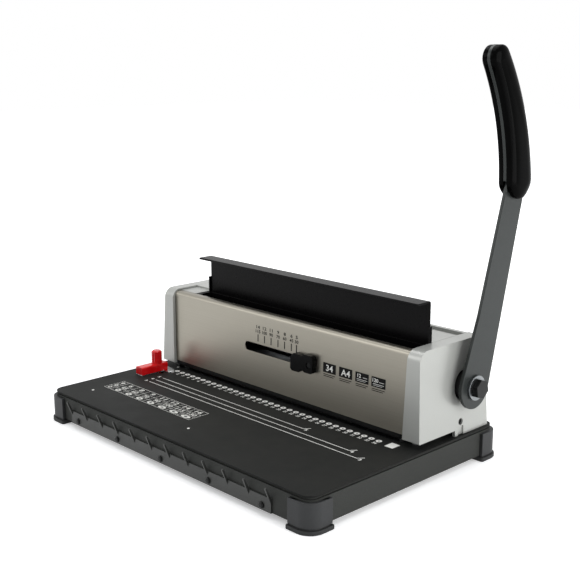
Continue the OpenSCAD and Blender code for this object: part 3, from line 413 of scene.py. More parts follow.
@dataclass(frozen=True)
class MouldedPlastic(Finish):
    """Injection-moulded plastic, gloss or eroded texture by its roughness."""

    tone: str = "#161616"
    light: str = "#1b1b1b"
    roughness: float = 0.4
    grain_mm: float = 0.3
    relief_mm: float = 0.015
    coat: float = 0.0
    gloss: float = 0.3

    def build(self) -> bpy.types.Material:
        """Make the moulded grain and slow changes in gloss.

        Returns:
            The new material.
        """
        g = Graph(
            self.name,
            self.tone,
            Roughness=self.roughness,
            Specular_IOR_Level=self.gloss,
            Coat_Weight=self.coat,
            Coat_Roughness=0.06,
        )
        per_m = 1 / (self.grain_mm * MM)
        grain = g.noise((per_m, per_m, per_m), 2.0)
        flow = g.noise((45.0, 45.0, 45.0), 2.0)
        g.tint(g.ramp(flow, 0.3, 0.7), self.tone, self.light)
        g.rough(g.ramp(flow, 0.3, 0.7, max(self.roughness - 0.04, 0.02), self.roughness + 0.05))
        g.bump(grain, self.relief_mm, 0.5)
        return g.material


@dataclass(frozen=True)
class ScreenInk(Finish):
    """Screen-printed ink: nearly flat, slightly uneven where it covers thinly."""

    tone: str = "#e8e8e4"
    thin: str = "#cfcfcb"
    gloss: float = 0.5

    def build(self) -> bpy.types.Material:
        """Make the ink's uneven cover.

        Returns:
            The new material.
        """
        g = Graph(self.name, self.tone, Roughness=0.55, Specular_IOR_Level=self.gloss)
        cover = g.noise((2500.0, 2500.0, 2500.0), 2.0)
        g.tint(g.ramp(cover, 0.25, 0.55), self.thin, self.tone)
        g.bump(cover, 0.01, 0.4)
        return g.material


PANEL_STEEL = BrushedSheet("brushed_steel_clear_coated", Slot.SHEET)
CAP_SILVER = SilverPaint("silver_flake_paint_satin", Slot.CAP)
TRAY_COAT = PowderCoat("black_powder_coat_fine_texture", Slot.TRAY, "#151615", "#1b1c1b")
BASE_COAT = PowderCoat("charcoal_powder_coat_fine_texture", Slot.BASE, "#313230", "#393a38")
HOOK_COAT = PowderCoat(
    "charcoal_powder_coat_semi_gloss", Slot.BASE, "#2a2b29", "#323331", 0.45, 0.42, 0.02, 0.35
)
LEVER_PAINT = SmoothPaint(
    "grey_stove_enamel_satin", Slot.GREY_STEEL, "#272b2a", "#242726", 0.34, 0.2
)
BLACK_ENAMEL = SmoothPaint(
    "black_enamel_semi_gloss", Slot.BLACK_STEEL, "#0b0a0b", "#080708", 0.3, 0.0, 0.06
)
BLACK_OXIDE = SmoothPaint(
    "black_oxide_steel_oiled", Slot.BLACK_STEEL, "#1a1b1b", "#121313", 0.32, 0.55
)
GROUND = GroundSteel("ground_steel_bare", Slot.BARE)
ZINC = GroundSteel(
    "zinc_plated_steel_bright", Slot.ZINC, "#cfd1d2", "#bfc2c4", 0.22, (900.0, 900.0, 900.0)
)
WASHER_ZINC = GroundSteel(
    "zinc_plated_steel_dull", Slot.ZINC, "#8b8e90", "#76797b", 0.3, (900.0, 900.0, 900.0)
)
BRONZE = GroundSteel("sintered_bronze_turned", Slot.BRASS, "#b9975a", "#a5834a", 0.34)
GRIP_GLOSS = MouldedPlastic(
    "black_abs_polished_mould", Slot.GLOSS_BLACK, "#030303", "#050505", 0.1, 0.6, 0.003, 0.0, 0.02
)
KNOB_BLACK = MouldedPlastic(
    "black_abs_eroded_mould", Slot.MATTE_BLACK, "#050505", "#080808", 0.34, 0.3, 0.015, 0.0, 0.08
)
PAD_BLACK = MouldedPlastic(
    "charcoal_pp_eroded_mould", Slot.MATTE_BLACK, "#252627", "#2b2c2d", 0.5, 0.35, 0.02
)
HUB_BLACK = MouldedPlastic("black_nylon_moulded", Slot.MATTE_BLACK, "#0d0d0d", "#121212", 0.5)
DRAWER_BLACK = MouldedPlastic("black_ps_moulded", Slot.MATTE_BLACK, "#1a1b1b", "#202121", 0.45)
GUIDE_RED = MouldedPlastic(
    "red_abs_polished_mould", Slot.RED, "#c4060c", "#cf0a12", 0.22, 0.6, 0.005, 0.25
)
FOOT_RUBBER = MouldedPlastic(
    "black_rubber_moulded", Slot.RUBBER, "#222323", "#2a2b2b", 0.62, 0.25, 0.03
)
WHITE_INK = ScreenInk("white_screen_print_ink", Slot.TRAY)
GREY_INK = ScreenInk("grey_screen_print_ink", Slot.TRAY, "#c9c9c4", "#b4b4b0")
BLACK_INK = ScreenInk("black_screen_print_ink", Slot.SHEET, "#0a0a0a", "#101010", 0.12)


# ---------------------------------------------------------------- mesh helpers


def finish_node(node: str, finish: Finish) -> None:
    """Give a CAD node its finish without changing its mesh.

    Args:
        node: Name of the CAD node.
        finish: Finish to assign.
    """
    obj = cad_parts[node]
    obj.data.materials.clear()
    obj.data.materials.append(finish.material)


def dress(obj: bpy.types.Object, finish: Finish, body: Body, *nodes: str) -> bpy.types.Object:
    """Give a new piece its finish, its body and the CAD nodes that it stands for.

    Args:
        obj: The new piece.
        finish: Its finish.
        body: Moving group it rides on.
        *nodes: CAD nodes that it replaces.

    Returns:
        The same piece.
    """
    obj.data.materials.clear()
    obj.data.materials.append(finish.material)
    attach(obj, body.value)
    if nodes:
        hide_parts(*nodes)
    return obj


def new_object(name: str, mesh: bpy.types.Mesh) -> bpy.types.Object:
    """Link a mesh into the scene.

    Args:
        name: Name of the piece.
        mesh: Its mesh.

    Returns:
        The new object, at the origin.
    """
    obj = bpy.data.objects.new(name, mesh)
    bpy.context.scene.collection.objects.link(obj)
    return obj


def mesh_from(name: str, verts: Iterable[Vector | Point3], faces: Iterable[Face]) -> bpy.types.Mesh:
    """Make a mesh from points and faces.

    Args:
        name: Name of the mesh.
        verts: Points in metres.
        faces: Corner numbers of each face.

    Returns:
        The mesh, with its normals facing out.
    """
    mesh = bpy.data.meshes.new(name)
    mesh.from_pydata([tuple(v) for v in verts], [], [list(f) for f in faces])
    bm = bmesh.new()
    bm.from_mesh(mesh)
    bmesh.ops.recalc_face_normals(bm, faces=bm.faces)
    bm.to_mesh(mesh)
    bm.free()
    return mesh


def smooth_by_angle(mesh: bpy.types.Mesh, degrees: float = 35.0) -> None:
    """Shade smooth, with edges over an angle kept sharp.

    Args:
        mesh: Mesh to shade.
        degrees: Smallest angle that stays sharp.
    """
    bm = bmesh.new()
    bm.from_mesh(mesh)
    limit = math.radians(degrees)
    for face in bm.faces:
        face.smooth = True
    for edge in bm.edges:
        edge.smooth = len(edge.link_faces) == 2 and edge.calc_face_angle(0.0) < limit
    bm.to_mesh(mesh)
    bm.free()


def applied(obj: bpy.types.Object) -> bpy.types.Mesh:
    """Turn an object's modifiers into plain mesh.

    Args:
        obj: Object whose modifiers are used up.

    Returns:
        The resulting mesh, which is also the object's new mesh.
    """
    graph = bpy.context.evaluated_depsgraph_get()
    mesh = bpy.data.meshes.new_from_object(obj.evaluated_get(graph))
    obj.modifiers.clear()
    obj.data = mesh
    return mesh


def softened(
    node: str,
    finish: Finish,
    body: Body,
    edge_mm: float,
    steps: int = 2,
    angle: float = 32.0,
) -> bpy.types.Object:
    """Copy a CAD node with its sharp edges broken, as a real part has them.

    Args:
        node: CAD node to stand for.
        finish: Finish of the copy.
        body: Moving group it rides on.
        edge_mm: Width of the rounded edges.
        steps: Faces across each rounded edge.
        angle: Smallest edge angle in degrees that is rounded.

    Returns:
        The new piece.
    """
    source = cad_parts[node]
    mesh = source.data.copy()
    bm = bmesh.new()
    bm.from_mesh(mesh)
    bmesh.ops.transform(bm, matrix=source.matrix_world, verts=bm.verts)
    bmesh.ops.remove_doubles(bm, verts=bm.verts, dist=2e-6)
    bmesh.ops.dissolve_limit(
        bm, angle_limit=math.radians(0.6), verts=bm.verts, edges=bm.edges
    )
    bm.to_mesh(mesh)
    bm.free()
    obj = new_object(f"{node}_skin", mesh)
    mod = obj.modifiers.new("edges", "BEVEL")
    mod.width = edge_mm * MM
    mod.segments = steps
    mod.limit_method = "ANGLE"
    mod.angle_limit = math.radians(angle)
    mod.miter_outer = "MITER_ARC"
    mod.use_clamp_overlap = True
    skin = applied(obj)
    smooth_by_angle(skin, 40.0)
    even = obj.modifiers.new("even", "WEIGHTED_NORMAL")  # keeps big faces flat beside round edges
    even.keep_sharp = True
    even.weight = 100
    applied(obj)
    return dress(obj, finish, body, node)


class Print:
    """Flat printed marks, gathered into one thin piece of ink."""

    def __init__(self, name: str, to_world: Callable[[float, float], Vector]) -> None:
        """Start an empty print.

        Args:
            name: Name of the piece.
            to_world: Turns the print's own millimetres into a point on the surface.
        """
        self.name = name
        self.to_world = to_world
        self.verts: list[Vector] = []
        self.faces: list[Face] = []

    def polygon(self, points: Iterable[Point2]) -> None:
        """Add a filled outline.

        Args:
            points: Corners in the print's millimetres.
        """
        start = len(self.verts)
        self.verts += [self.to_world(u, v) for u, v in points]
        self.faces.append(range(start, len(self.verts)))

    def rect(self, u0: float, v0: float, u1: float, v1: float) -> None:
        """Add a filled rectangle.

        Args:
            u0: Left edge.
            v0: Lower edge.
            u1: Right edge.
            v1: Upper edge.
        """
        self.polygon(((u0, v0), (u1, v0), (u1, v1), (u0, v1)))

    def frame(self, u0: float, v0: float, u1: float, v1: float, width: float) -> None:
        """Add a rectangular frame.

        Args:
            u0: Left edge.
            v0: Lower edge.
            u1: Right edge.
            v1: Upper edge.
            width: Line width.
        """
        self.rect(u0, v0, u1, v0 + width)
        self.rect(u0, v1 - width, u1, v1)
        self.rect(u0, v0 + width, u0 + width, v1 - width)
        self.rect(u1 - width, v0 + width, u1, v1 - width)

    def ring(self, u: float, v: float, ru: float, rv: float, hole: float, n: int = 20) -> None:
        """Add an oval ring.

        Args:
            u: Centre.
            v: Centre.
            ru: Half width.
            rv: Half height.
            hole: Share of the radius that stays open.
            n: Points around.
        """
        start = len(self.verts)
        for k in (1.0, hole):
            for i in range(n):
                a = 2 * math.pi * i / n
                self.verts.append(self.to_world(u + k * ru * math.cos(a), v + k * rv * math.sin(a)))
        for i in range(n):
            j = (i + 1) % n
            self.faces.append((start + i, start + j, start + n + j, start + n + i))

    def disc(self, u: float, v: float, r: float, n: int = 20) -> None:
        """Add a filled dot.

        Args:
            u: Centre.
            v: Centre.
            r: Radius.
            n: Points around.
        """
        self.polygon(
            (u + r * math.cos(2 * math.pi * i / n), v + r * math.sin(2 * math.pi * i / n))
            for i in range(n)
        )

    def number(self, text: str, u: float, v: float, height: float, stretch: float = 1.0) -> None:
        """Add a number in a plain face, centred on a point.

        Args:
            text: Digits to print.
            u: Centre.
            v: Centre.
            height: Height of the digits.
            stretch: Width against the face's own.
        """
        curve = bpy.data.curves.new("digits", "FONT")
        curve.body = text
        curve.size = 1.0
        curve.resolution_u = 2
        curve.align_x = "CENTER"
        curve.offset = 0.02
        obj = new_object("digits", curve)
        graph = bpy.context.evaluated_depsgraph_get()
        mesh = bpy.data.meshes.new_from_object(obj.evaluated_get(graph))
        xs = [p.co.x for p in mesh.vertices]
        ys = [p.co.y for p in mesh.vertices]
        k = height / (max(ys) - min(ys))
        mid_x, mid_y = (max(xs) + min(xs)) / 2, (max(ys) + min(ys)) / 2
        start = len(self.verts)
        self.verts += [
            self.to_world(u + (p.co.x - mid_x) * k * stretch, v + (p.co.y - mid_y) * k)
            for p in mesh.vertices
        ]
        self.faces += [[start + i for i in poly.vertices] for poly in mesh.polygons]
        bpy.data.objects.remove(obj)
        bpy.data.meshes.remove(mesh)
        bpy.data.curves.remove(curve)

    def finish(self, ink: Finish, body: Body) -> bpy.types.Object:
        """Make the piece.

        Args:
            ink: Ink of the print.
            body: Moving group it rides on.

        Returns:
            The new piece.
        """
        mesh = bpy.data.meshes.new(self.name)
        mesh.from_pydata([tuple(v) for v in self.verts], [], [list(f) for f in self.faces])
        return dress(new_object(self.name, mesh), ink, body)


# ------------------------------------------------------------------ the layout


@dataclass(frozen=True)
class Layout:
    """Where the machine's own millimetre grid lies in the frame.

    X counts from the middle of the base, Y from the row of printed marks, Z from the tray.
    """

    origin: Vector
    row_x: float = -1.7
    pitch: float = 8.467
    holes: int = 34

    @classmethod
    def from_frame(cls) -> Layout:
        """Read the grid's origin from the tray.

        Returns:
            The layout.
        """
        low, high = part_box("tray_plate")
        return cls(Vector(((low[0] + high[0]) / 2, low[1] + 125 * MM, high[2])))

    def at(self, x: float, y: float, z: float) -> Vector:
        """Turn machine millimetres into a point of the frame.

        Args:
            x: From the middle of the base.
            y: From the row of marks, to the back.
            z: Over the tray.

        Returns:
            Point in metres.
        """
        return self.origin + Vector((x, y, z)) * MM

    def hole_x(self) -> list[float]:
        """Give the place of every punched hole.

        Returns:
            X of each hole, left to right.
        """
        half = (self.holes - 1) / 2
        return [self.row_x + (i - half) * self.pitch for i in range(self.holes)]


# ---------------------------------------------------------------- sub-assemblies


@dataclass
class Base:
    """Tray, skirt, pads, feet, hook strip and drawer."""

    layout: Layout

    def build(self) -> None:
        """Dress the base's pieces."""
        softened("tray_plate", TRAY_COAT, Body.MACHINE, 0.7, 3)
        softened("base_frame", BASE_COAT, Body.MACHINE, 0.6, 2)
        finish_node("bottom_plate", BASE_COAT)
        finish_node("base_screws", ZINC)
        softened("hook_strip", HOOK_COAT, Body.MACHINE, 0.5, 2)
        softened("hook_strip_screws", BLACK_OXIDE, Body.MACHINE, 0.2, 2)
        for corner in ("fl", "fr", "bl", "br"):
            softened(f"corner_pad_{corner}", PAD_BLACK, Body.MACHINE, 0.5, 2)
            softened(f"foot_{corner}", FOOT_RUBBER, Body.MACHINE, 0.7, 3)
        softened("chip_drawer", DRAWER_BLACK, Body.DRAWER, 0.4, 2)


@dataclass
class TrayPrint:
    """Hole marks, paper edge lines and the size table on the tray."""

    layout: Layout
    lift: float = 0.03
    table: tuple[float, float, float, float] = (-151.5, -84.0, -16.5, -60.0)
    sizes: Sequence[str] = ("6", "8", "9", "11", "12", "14", "16")
    sheets: Sequence[str] = ("45", "60", "70", "90", "100", "115", "130")

    def on_tray(self, u: float, v: float) -> Vector:
        """Place a printed point on the tray.

        Args:
            u: Machine X.
            v: Machine Y.

        Returns:
            Point in metres.
        """
        return self.layout.at(u, v, self.lift)

    def build(self) -> None:
        """Print the tray."""
        ink = Print("tray_print", self.on_tray)
        for i, x in enumerate(self.layout.hole_x()):
            ink.ring(x, 0.0, 2.9, 2.7, 0.3)
            ink.number(str(i + 1), x, -5.8, 3.6, 1.2 if i < 9 else 0.9)
        ink.rect(148.3, -5.2, 157.3, 5.2)
        self.paper_lines(ink)
        self.dots(ink)
        ink.finish(WHITE_INK, Body.MACHINE)
        table = Print("tray_table_print", self.on_tray)
        self.size_table(table)
        table.finish(GREY_INK, Body.MACHINE)

    def paper_lines(self, ink: Print) -> None:
        """Print the three lines that mark paper widths.

        Args:
            ink: Print to add to.
        """
        for end, y, label in ((71.5, -25.4, "5"), (134.5, -34.0, "4"), (150.5, -42.0, "3")):
            ink.rect(-133.0, y - 0.35, end, y + 0.35)
            tail = ((-0.4, -0.4), (0.4, -0.4), (5.2, 5.2), (4.2, 5.4))
            ink.polygon((end + du, y + dv) for du, dv in tail)
            ink.number(label, end + 4.2, y - 0.4, 3.4, 1.4)
            ink.number(label, -138.5, y, 3.4, 1.4)

    def dots(self, ink: Print) -> None:
        """Print the tray's small reference dots.

        Args:
            ink: Print to add to.
        """
        for x, y in ((-152.1, 9.2), (-149.7, -98.2), (0.5, -97.6)):
            ink.disc(x, y, 1.3)

    def size_table(self, ink: Print) -> None:
        """Print the table of wire sizes and sheets.

        Args:
            ink: Print to add to.
        """
        u0, v0, u1, v1 = self.table
        rows = (v0, v0 + 7.5, v0 + 15.0, v1)
        step = (u1 - u0 - 10.0) / len(self.sizes)
        ink.frame(u0, v0, u1, v1, 0.45)
        for v in rows[1:3]:
            ink.rect(u0, v - 0.2, u1, v + 0.2)
        for i, (size, sheets) in enumerate(zip(self.sizes, self.sheets)):
            left = u0 + 10.0 + i * step
            ink.rect(left - 0.2, v0, left + 0.2, v1)
            mid = left + step / 2
            ink.number(size, mid, (rows[2] + rows[3]) / 2, 5.4, 1.5)
            ink.number(sheets, mid, (rows[1] + rows[2]) / 2, 4.8, 1.35)
            ink.ring(mid, (rows[0] + rows[1]) / 2, 3.4 + 0.45 * i, 2.7, 0.4)
        for k, v in enumerate((rows[0] + 3.7, rows[1] + 3.7, rows[2] + 4.4)):
            ink.ring(u0 + 5.0, v, 2.2, 2.2, 0.5 - 0.12 * k)


@dataclass
class Housing:
    """Front panel, caps, rear cover and what is printed on the panel."""

    layout: Layout
    ticks: Sequence[float] = (-26.6, -17.4, -8.2, 1.4, 10.4, 19.5, 26.4)
    upper: Sequence[str] = ("14", "12", "11", "9", "8", "6", "5")
    lower: Sequence[str] = ("115", "100", "90", "70", "60", "45", "30")
    badges: Sequence[tuple[float, float, str]] = (
        (61.2, 77.0, "34"),
        (80.9, 96.8, "A4"),
        (100.5, 116.1, "12"),
        (119.3, 135.4, "120"),
    )

    def on_panel(self, u: float, v: float) -> Vector:
        """Place a printed point on the leaning front panel.

        Args:
            u: Machine X.
            v: Height over the tray.

        Returns:
            Point in metres, a hair in front of the sheet.
        """
        low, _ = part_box("front_panel")
        lean = 2.2 / 83.7
        y0 = (low[1] - self.layout.origin.y) / MM
        return self.layout.at(u, y0 + lean * (v - 8.0) - 0.04, v)

    def build(self) -> None:
        """Dress the housing."""
        softened("front_panel", PANEL_STEEL, Body.MACHINE, 0.4, 2)
        softened("rear_cover", CAP_SILVER, Body.MACHINE, 0.4, 2)
        softened("left_cap", CAP_SILVER, Body.MACHINE, 1.0, 4, 28.0)
        softened("right_cap", CAP_SILVER, Body.MACHINE, 1.0, 4, 28.0)
        softened("cap_screws", BLACK_OXIDE, Body.MACHINE, 0.2, 2)
        softened("closing_guide_left", BLACK_ENAMEL, Body.MACHINE, 0.3, 2)
        softened("closing_guide_right", BLACK_ENAMEL, Body.MACHINE, 0.3, 2)
        softened("anvil_channel", BLACK_ENAMEL, Body.MACHINE, 0.2, 1)
        self.panel_print()

    def panel_print(self) -> None:
        """Print ticks, numbers and badges on the panel."""
        dark = Print("panel_print", self.on_panel)
        for x, up, down in zip(self.ticks, self.upper, self.lower):
            dark.rect(x - 0.6, 53.0, x + 0.6, 60.2)
            dark.number(down, x, 63.1, 3.2, 1.2)
            dark.number(up, x, 67.4, 3.2, 1.4)
        for left, right, _ in self.badges:
            dark.rect(left, 42.6, right, 51.7)
            dark.rect(left + 0.6, 40.5, right - 0.6, 41.2)
            dark.rect(left + 0.6, 38.9, right - 2.6, 39.6)
        dark.finish(BLACK_INK, Body.MACHINE)
        proud = Vector((0.0, -0.02 * MM, 0.0))
        light = Print("panel_badge_print", lambda u, v: self.on_panel(u, v) + proud)
        for left, right, text in self.badges:
            if len(text) == 2 and text != "12":
                light.number(text, (left + right) / 2, 47.1, 5.8, 1.15)
            else:
                light.number(text, left + 4.6, 48.6, 3.4, 1.1)
                light.rect(left + 8.8, 47.4, right - 1.6, 47.8)
                light.rect(left + 1.8, 45.2, right - 1.6, 45.6)
                light.rect(left + 1.8, 43.9, right - 3.6, 44.2)
        light.finish(WHITE_INK, Body.MACHINE)


@dataclass
class Works:
    """Frame plates, die set, shaft, gears and slides inside the housing."""

    fixed: Sequence[str] = (
        "left_frame_plate",
        "right_frame_plate",
        "tie_rods",
        "die_plate",
        "paper_stop_bar",
        "stripper_plate",
        "guide_post_left",
        "guide_post_right",
        "return_spring_left",
        "return_spring_right",
    )
    moving: Sequence[str] = (
        "drive_shaft",
        "punch_pinion_left",
        "punch_pinion_right",
        "closing_pinion_left",
        "closing_pinion_right",
        "grip_rivets",
        "punch_bar",
        "punch_pins",
        "punch_rack_left",
        "punch_rack_right",
        "closing_rack_left",
        "closing_rack_right",
        "depth_slide",
    )
    # die plate and stripper plate get black oxide as painted shade: their colour stands for the
    # shadow under the front panel
    dark: Sequence[str] = ("die_plate", "stripper_plate")

    def build(self) -> None:
        """Give the machined parts their bare metal, with the die plate and stripper plate black as
        painted shade.
        """
        for node in (*self.fixed, *self.moving):
            finish_node(node, BLACK_OXIDE if node in self.dark else GROUND)
        for node in ("shaft_bush_left", "shaft_bush_right"):
            finish_node(node, BRONZE)


@dataclass
class Closer:
    """The L-shaped closing plate."""

    def build(self) -> None:
        """Dress the plate."""
        softened("closing_plate", BLACK_ENAMEL, Body.CLOSER, 0.5, 3)


@dataclass
class SizeKnob:
    """The two-lobed knob that sets the wire size."""

    def build(self) -> None:
        """Dress the knob and its screw."""
        softened("size_knob", KNOB_BLACK, Body.SETTING, 0.9, 3, 25.0)
        softened("size_knob_screw", BLACK_OXIDE, Body.SETTING, 0.2, 2)


@dataclass
class EdgeGuide:
    """The red paper edge guide with its clamp knob."""

    def build(self) -> None:
        """Dress the guide."""
        softened("edge_guide_block", GUIDE_RED, Body.GUIDE, 1.1, 4)
        softened("edge_guide_tongue", ZINC, Body.GUIDE, 0.15, 1)
        softened("edge_guide_knob", GUIDE_RED, Body.CLAMP, 0.25, 2, 40.0)


@dataclass
class Lever:
    """Lever bar with its grip, hub, washer and bolt."""

    layout: Layout
    pivot: Point2 = (68.5, 43.5)
    lean: float = 15.0
    arc_centre: Point2 = (-196.6, 111.7)
    arc_radius: float = 209.2
    width: Point2 = (30.5, 21.4)
    span: Point2 = (18.9, 48.73)
    square: float = 0.08
    bar: Point2 = (182.83, 186.03)

    def build(self) -> None:
        """Dress the lever."""
        softened("lever_bar", LEVER_PAINT, Body.LEVER, 0.5, 3)
        softened("lever_hub", HUB_BLACK, Body.LEVER, 0.4, 2)
        softened("lever_washer", WASHER_ZINC, Body.LEVER, 0.35, 3)
        softened("lever_bolt", BLACK_OXIDE, Body.LEVER, 0.7, 3, 40.0)
        self.scale("grip_outer_skin", 1, "grip_outer_scale")
        self.scale("grip_inner_skin", -1, "grip_inner_scale")

    def outline(self, t: float, steps: int = 40) -> list[Point2]:
        """Give the grip's closed outline, drawn in by an amount.

        Args:
            t: How far the outline is drawn in.
            steps: Points along each long side.

        Returns:
            Points in the lever's own plane: across, along.
        """
        a0, a1 = self.span
        cu, cv = self.arc_centre

        def point(a: float, off: float) -> Point2:
            """Give the point at an angle of the arc, moved out by an offset."""
            r = self.arc_radius + off
            return cu + r * math.cos(math.radians(a)), cv + r * math.sin(math.radians(a))

        def half(a: float) -> float:
            """Give half the grip's width at an angle of the arc."""
            w0, w1 = self.width
            return (w0 + (w1 - w0) * (a - a0) / (a1 - a0)) / 2

        points = [
            point(a, half(a) - t) for a in (a0 + (a1 - a0) * i / steps for i in range(steps + 1))
        ]
        tip = point(a1, 0.0)
        points += [
            (
                tip[0] + (self.width[1] / 2 - t) * math.cos(math.radians(a1 + b)),
                tip[1] + (self.width[1] / 2 - t) * math.sin(math.radians(a1 + b)),
            )
            for b in range(10, 180, 10)
        ]
        points += [
            point(a, -half(a) + t)
            for a in (a0 + (a1 - a0) * i / steps for i in range(steps, -1, -1))
        ]
        heel = point(a0, 0.0)
        for b in range(15, 180, 15):
            r = (self.width[0] / 2 - t) * (1 - self.square * math.sin(math.radians(2 * b)) ** 2)
            turn = math.radians(a0 + 180 + b)
            points.append((heel[0] + r * math.cos(turn), heel[1] + r * math.sin(turn)))
        return points

    def to_world(self, x: float, u: float, v: float) -> Vector:
        """Turn a point of the lever's plane into a point of the frame.

        Args:
            x: Machine X.
            u: Across the lever, to the back.
            v: Along the lever, from the pivot.

        Returns:
            Point in metres.
        """
        c, s = math.cos(math.radians(self.lean)), math.sin(math.radians(self.lean))
        return self.layout.at(x, self.pivot[0] + u * c + v * s, self.pivot[1] - u * s + v * c)

    def scale(self, name: str, side: int, node: str) -> None:
        """Loft one crowned grip scale with a rounded rim.

        Args:
            name: Name of the piece.
            side: 1 outside, -1 inside.
            node: CAD node it stands for.
        """
        rim = (
            (0.0, 0.12), (0.0, 3.6), (0.25, 4.4), (0.9, 5.1), (1.8, 5.6),
            (3.4, 6.3), (5.4, 6.9), (7.8, 7.3), (10.1, 7.45),
        )
        base = self.bar[1] if side > 0 else self.bar[0]
        rings = [
            [self.to_world(base + side * h, u, v) for u, v in self.outline(t)] for t, h in rim
        ]
        n = len(rings[0])
        verts = [p for ring in rings for p in ring]
        faces: list[Face] = [tuple(range(n)), tuple(range((len(rings) - 1) * n, len(rings) * n))]
        for k in range(len(rings) - 1):
            for i in range(n):
                j = (i + 1) % n
                faces.append((k * n + i, k * n + j, (k + 1) * n + j, (k + 1) * n + i))
        mesh = mesh_from(name, verts, faces)
        smooth_by_angle(mesh, 50.0)
        dress(new_object(name, mesh), GRIP_GLOSS, Body.LEVER, node)


# ----------------------------------------------------------------------- studio


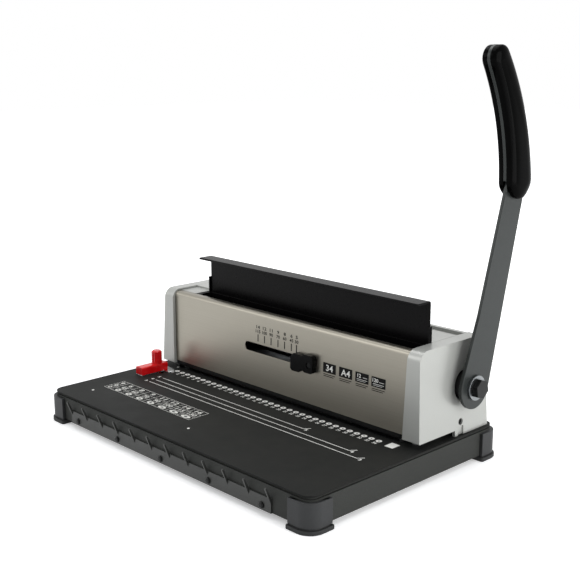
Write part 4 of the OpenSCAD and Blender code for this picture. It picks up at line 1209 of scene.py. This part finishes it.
@dataclass
class Studio:
    """Floor, backdrop light, lamps and camera."""

    layout: Layout
    lens: float = 63.06
    yaw: float = 46.16
    pitch: float = 12.70
    roll: float = -0.09
    camera_at: Point3 = (674.72, -620.29, 316.24)

    def build(self) -> None:
        """Set the scene up."""
        self.world()
        self.floor()
        self.lamps()
        self.camera()
        bpy.context.scene.view_settings.view_transform = "Standard"

    def world(self) -> None:
        """Pale world that the camera and glossy surfaces see as white paper."""
        world = bpy.data.worlds.new("studio")
        bpy.context.scene.world = world
        world.use_nodes = True
        tree = world.node_tree
        tree.nodes.clear()
        out = tree.nodes.new("ShaderNodeOutputWorld")
        mix = tree.nodes.new("ShaderNodeMixShader")
        fill = tree.nodes.new("ShaderNodeBackground")
        seen = tree.nodes.new("ShaderNodeBackground")
        fill.inputs["Color"].default_value = linear("#eef1f4")
        fill.inputs["Strength"].default_value = 0.55
        seen.inputs["Color"].default_value = linear("#ffffff")
        seen.inputs["Strength"].default_value = 1.0
        tree.links.new(self.seen_rays(tree), mix.inputs["Fac"])
        tree.links.new(fill.outputs["Background"], mix.inputs[1])
        tree.links.new(seen.outputs["Background"], mix.inputs[2])
        tree.links.new(mix.outputs["Shader"], out.inputs["Surface"])

    @staticmethod
    def seen_rays(tree: bpy.types.NodeTree) -> bpy.types.NodeSocket:
        """Tell the rays that show the background from those that light the machine.

        Args:
            tree: Node tree to add to.

        Returns:
            Socket that is 1 for rays of the camera, of a reflection or through glass.
        """
        path = tree.nodes.new("ShaderNodeLightPath")
        seen = path.outputs["Is Camera Ray"]
        for kind in ("Is Glossy Ray", "Is Transmission Ray"):
            either = tree.nodes.new("ShaderNodeMath")
            either.operation = "MAXIMUM"
            tree.links.new(seen, either.inputs[0])
            tree.links.new(path.outputs[kind], either.inputs[1])
            seen = either.outputs["Value"]
        return seen

    def floor(self) -> None:
        """Pale floor that keeps the machine's shadow and fades to white around it."""
        half = 6.0
        mesh = mesh_from(
            "floor",
            [(-half, -half, 0.0), (half, -half, 0.0), (half, half, 0.0), (-half, half, 0.0)],
            [(0, 1, 2, 3)],
        )
        obj = new_object("studio_floor", mesh)
        mat = bpy.data.materials.new("matt_white_paper")
        mat.use_nodes = True
        tree = mat.node_tree
        tree.nodes.clear()
        out = tree.nodes.new("ShaderNodeOutputMaterial")
        add = tree.nodes.new("ShaderNodeAddShader")
        paper = tree.nodes.new("ShaderNodeBsdfDiffuse")
        glow = tree.nodes.new("ShaderNodeEmission")
        coords = tree.nodes.new("ShaderNodeTexCoord")
        away = tree.nodes.new("ShaderNodeVectorMath")
        away.operation = "LENGTH"
        fade = tree.nodes.new("ShaderNodeMapRange")
        for key, value in (("From Min", 0.3), ("From Max", 1.3), ("To Min", 0.34), ("To Max", 1.0)):
            fade.inputs[key].default_value = value
        gain = tree.nodes.new("ShaderNodeMath")
        gain.operation = "MULTIPLY"
        paper.inputs["Color"].default_value = linear("#f4f4f4")
        tree.links.new(coords.outputs["Object"], away.inputs[0])
        tree.links.new(away.outputs["Value"], fade.inputs["Value"])
        tree.links.new(self.seen_rays(tree), gain.inputs[0])
        tree.links.new(fade.outputs["Result"], gain.inputs[1])
        tree.links.new(gain.outputs["Value"], glow.inputs["Strength"])
        tree.links.new(paper.outputs["BSDF"], add.inputs[0])
        tree.links.new(glow.outputs["Emission"], add.inputs[1])
        tree.links.new(add.outputs["Shader"], out.inputs["Surface"])
        mesh.materials.append(mat)

    def lamp(self, name: str, at: Point3, target: Point3, size: Point2, power: float) -> None:
        """Add one soft box.

        Args:
            name: Name of the lamp.
            at: Place in metres.
            target: Point that it faces.
            size: Width and height in metres.
            power: Power in watts.
        """
        data = bpy.data.lights.new(name, "AREA")
        data.shape = "RECTANGLE"
        data.size, data.size_y = size
        data.energy = power
        obj = new_object(name, data)
        obj.location = at
        obj.rotation_euler = (Vector(target) - Vector(at)).to_track_quat("-Z", "Y").to_euler()

    def lamps(self) -> None:
        """Place the soft boxes around the machine."""
        self.lamp("overhead", (-0.1, 0.2, 1.5), (0.0, 0.0, 0.0), (1.6, 1.2), 17.0)
        self.lamp("front_left", (-1.2, -1.3, 1.0), (0.0, 0.0, 0.1), (0.9, 0.9), 7.0)
        self.lamp("right", (1.3, 0.2, 0.4), (0.1, 0.0, 0.05), (0.9, 0.8), 10.0)

    def camera(self) -> None:
        """Set the camera at its measured place."""
        data = bpy.data.cameras.new("camera")
        data.sensor_width = 36.0
        data.lens = self.lens
        data.clip_end = 50.0
        obj = new_object("camera", data)
        aim = (math.radians(90 - self.pitch), 0.0, math.radians(self.yaw))
        turn = Euler(aim, "XYZ").to_matrix()
        obj.matrix_world = (
            Matrix.Translation(self.layout.at(*self.camera_at))
            @ turn.to_4x4()
            @ Matrix.Rotation(math.radians(self.roll), 4, "Z")
        )
        bpy.context.scene.camera = obj


@dataclass
class Machine:
    """The whole scene, in its build order."""

    layout: Layout = field(default_factory=Layout.from_frame)

    def build(self) -> None:
        """Build and dress every sub-assembly, then the studio."""
        steps: dict[str, Callable[[], None]] = {
            "base": Base(self.layout).build,
            "tray print": TrayPrint(self.layout).build,
            "housing": Housing(self.layout).build,
            "works": Works().build,
            "closer": Closer().build,
            "size knob": SizeKnob().build,
            "edge guide": EdgeGuide().build,
            "lever": Lever(self.layout).build,
            "studio": Studio(self.layout).build,
        }
        for name, step in steps.items():
            step()
            LOG.info("built %s", name)


def main() -> None:
    logging.basicConfig(level=logging.INFO, format="%(name)s: %(message)s")
    Machine().build()


if __name__ == "__main__":
    main()
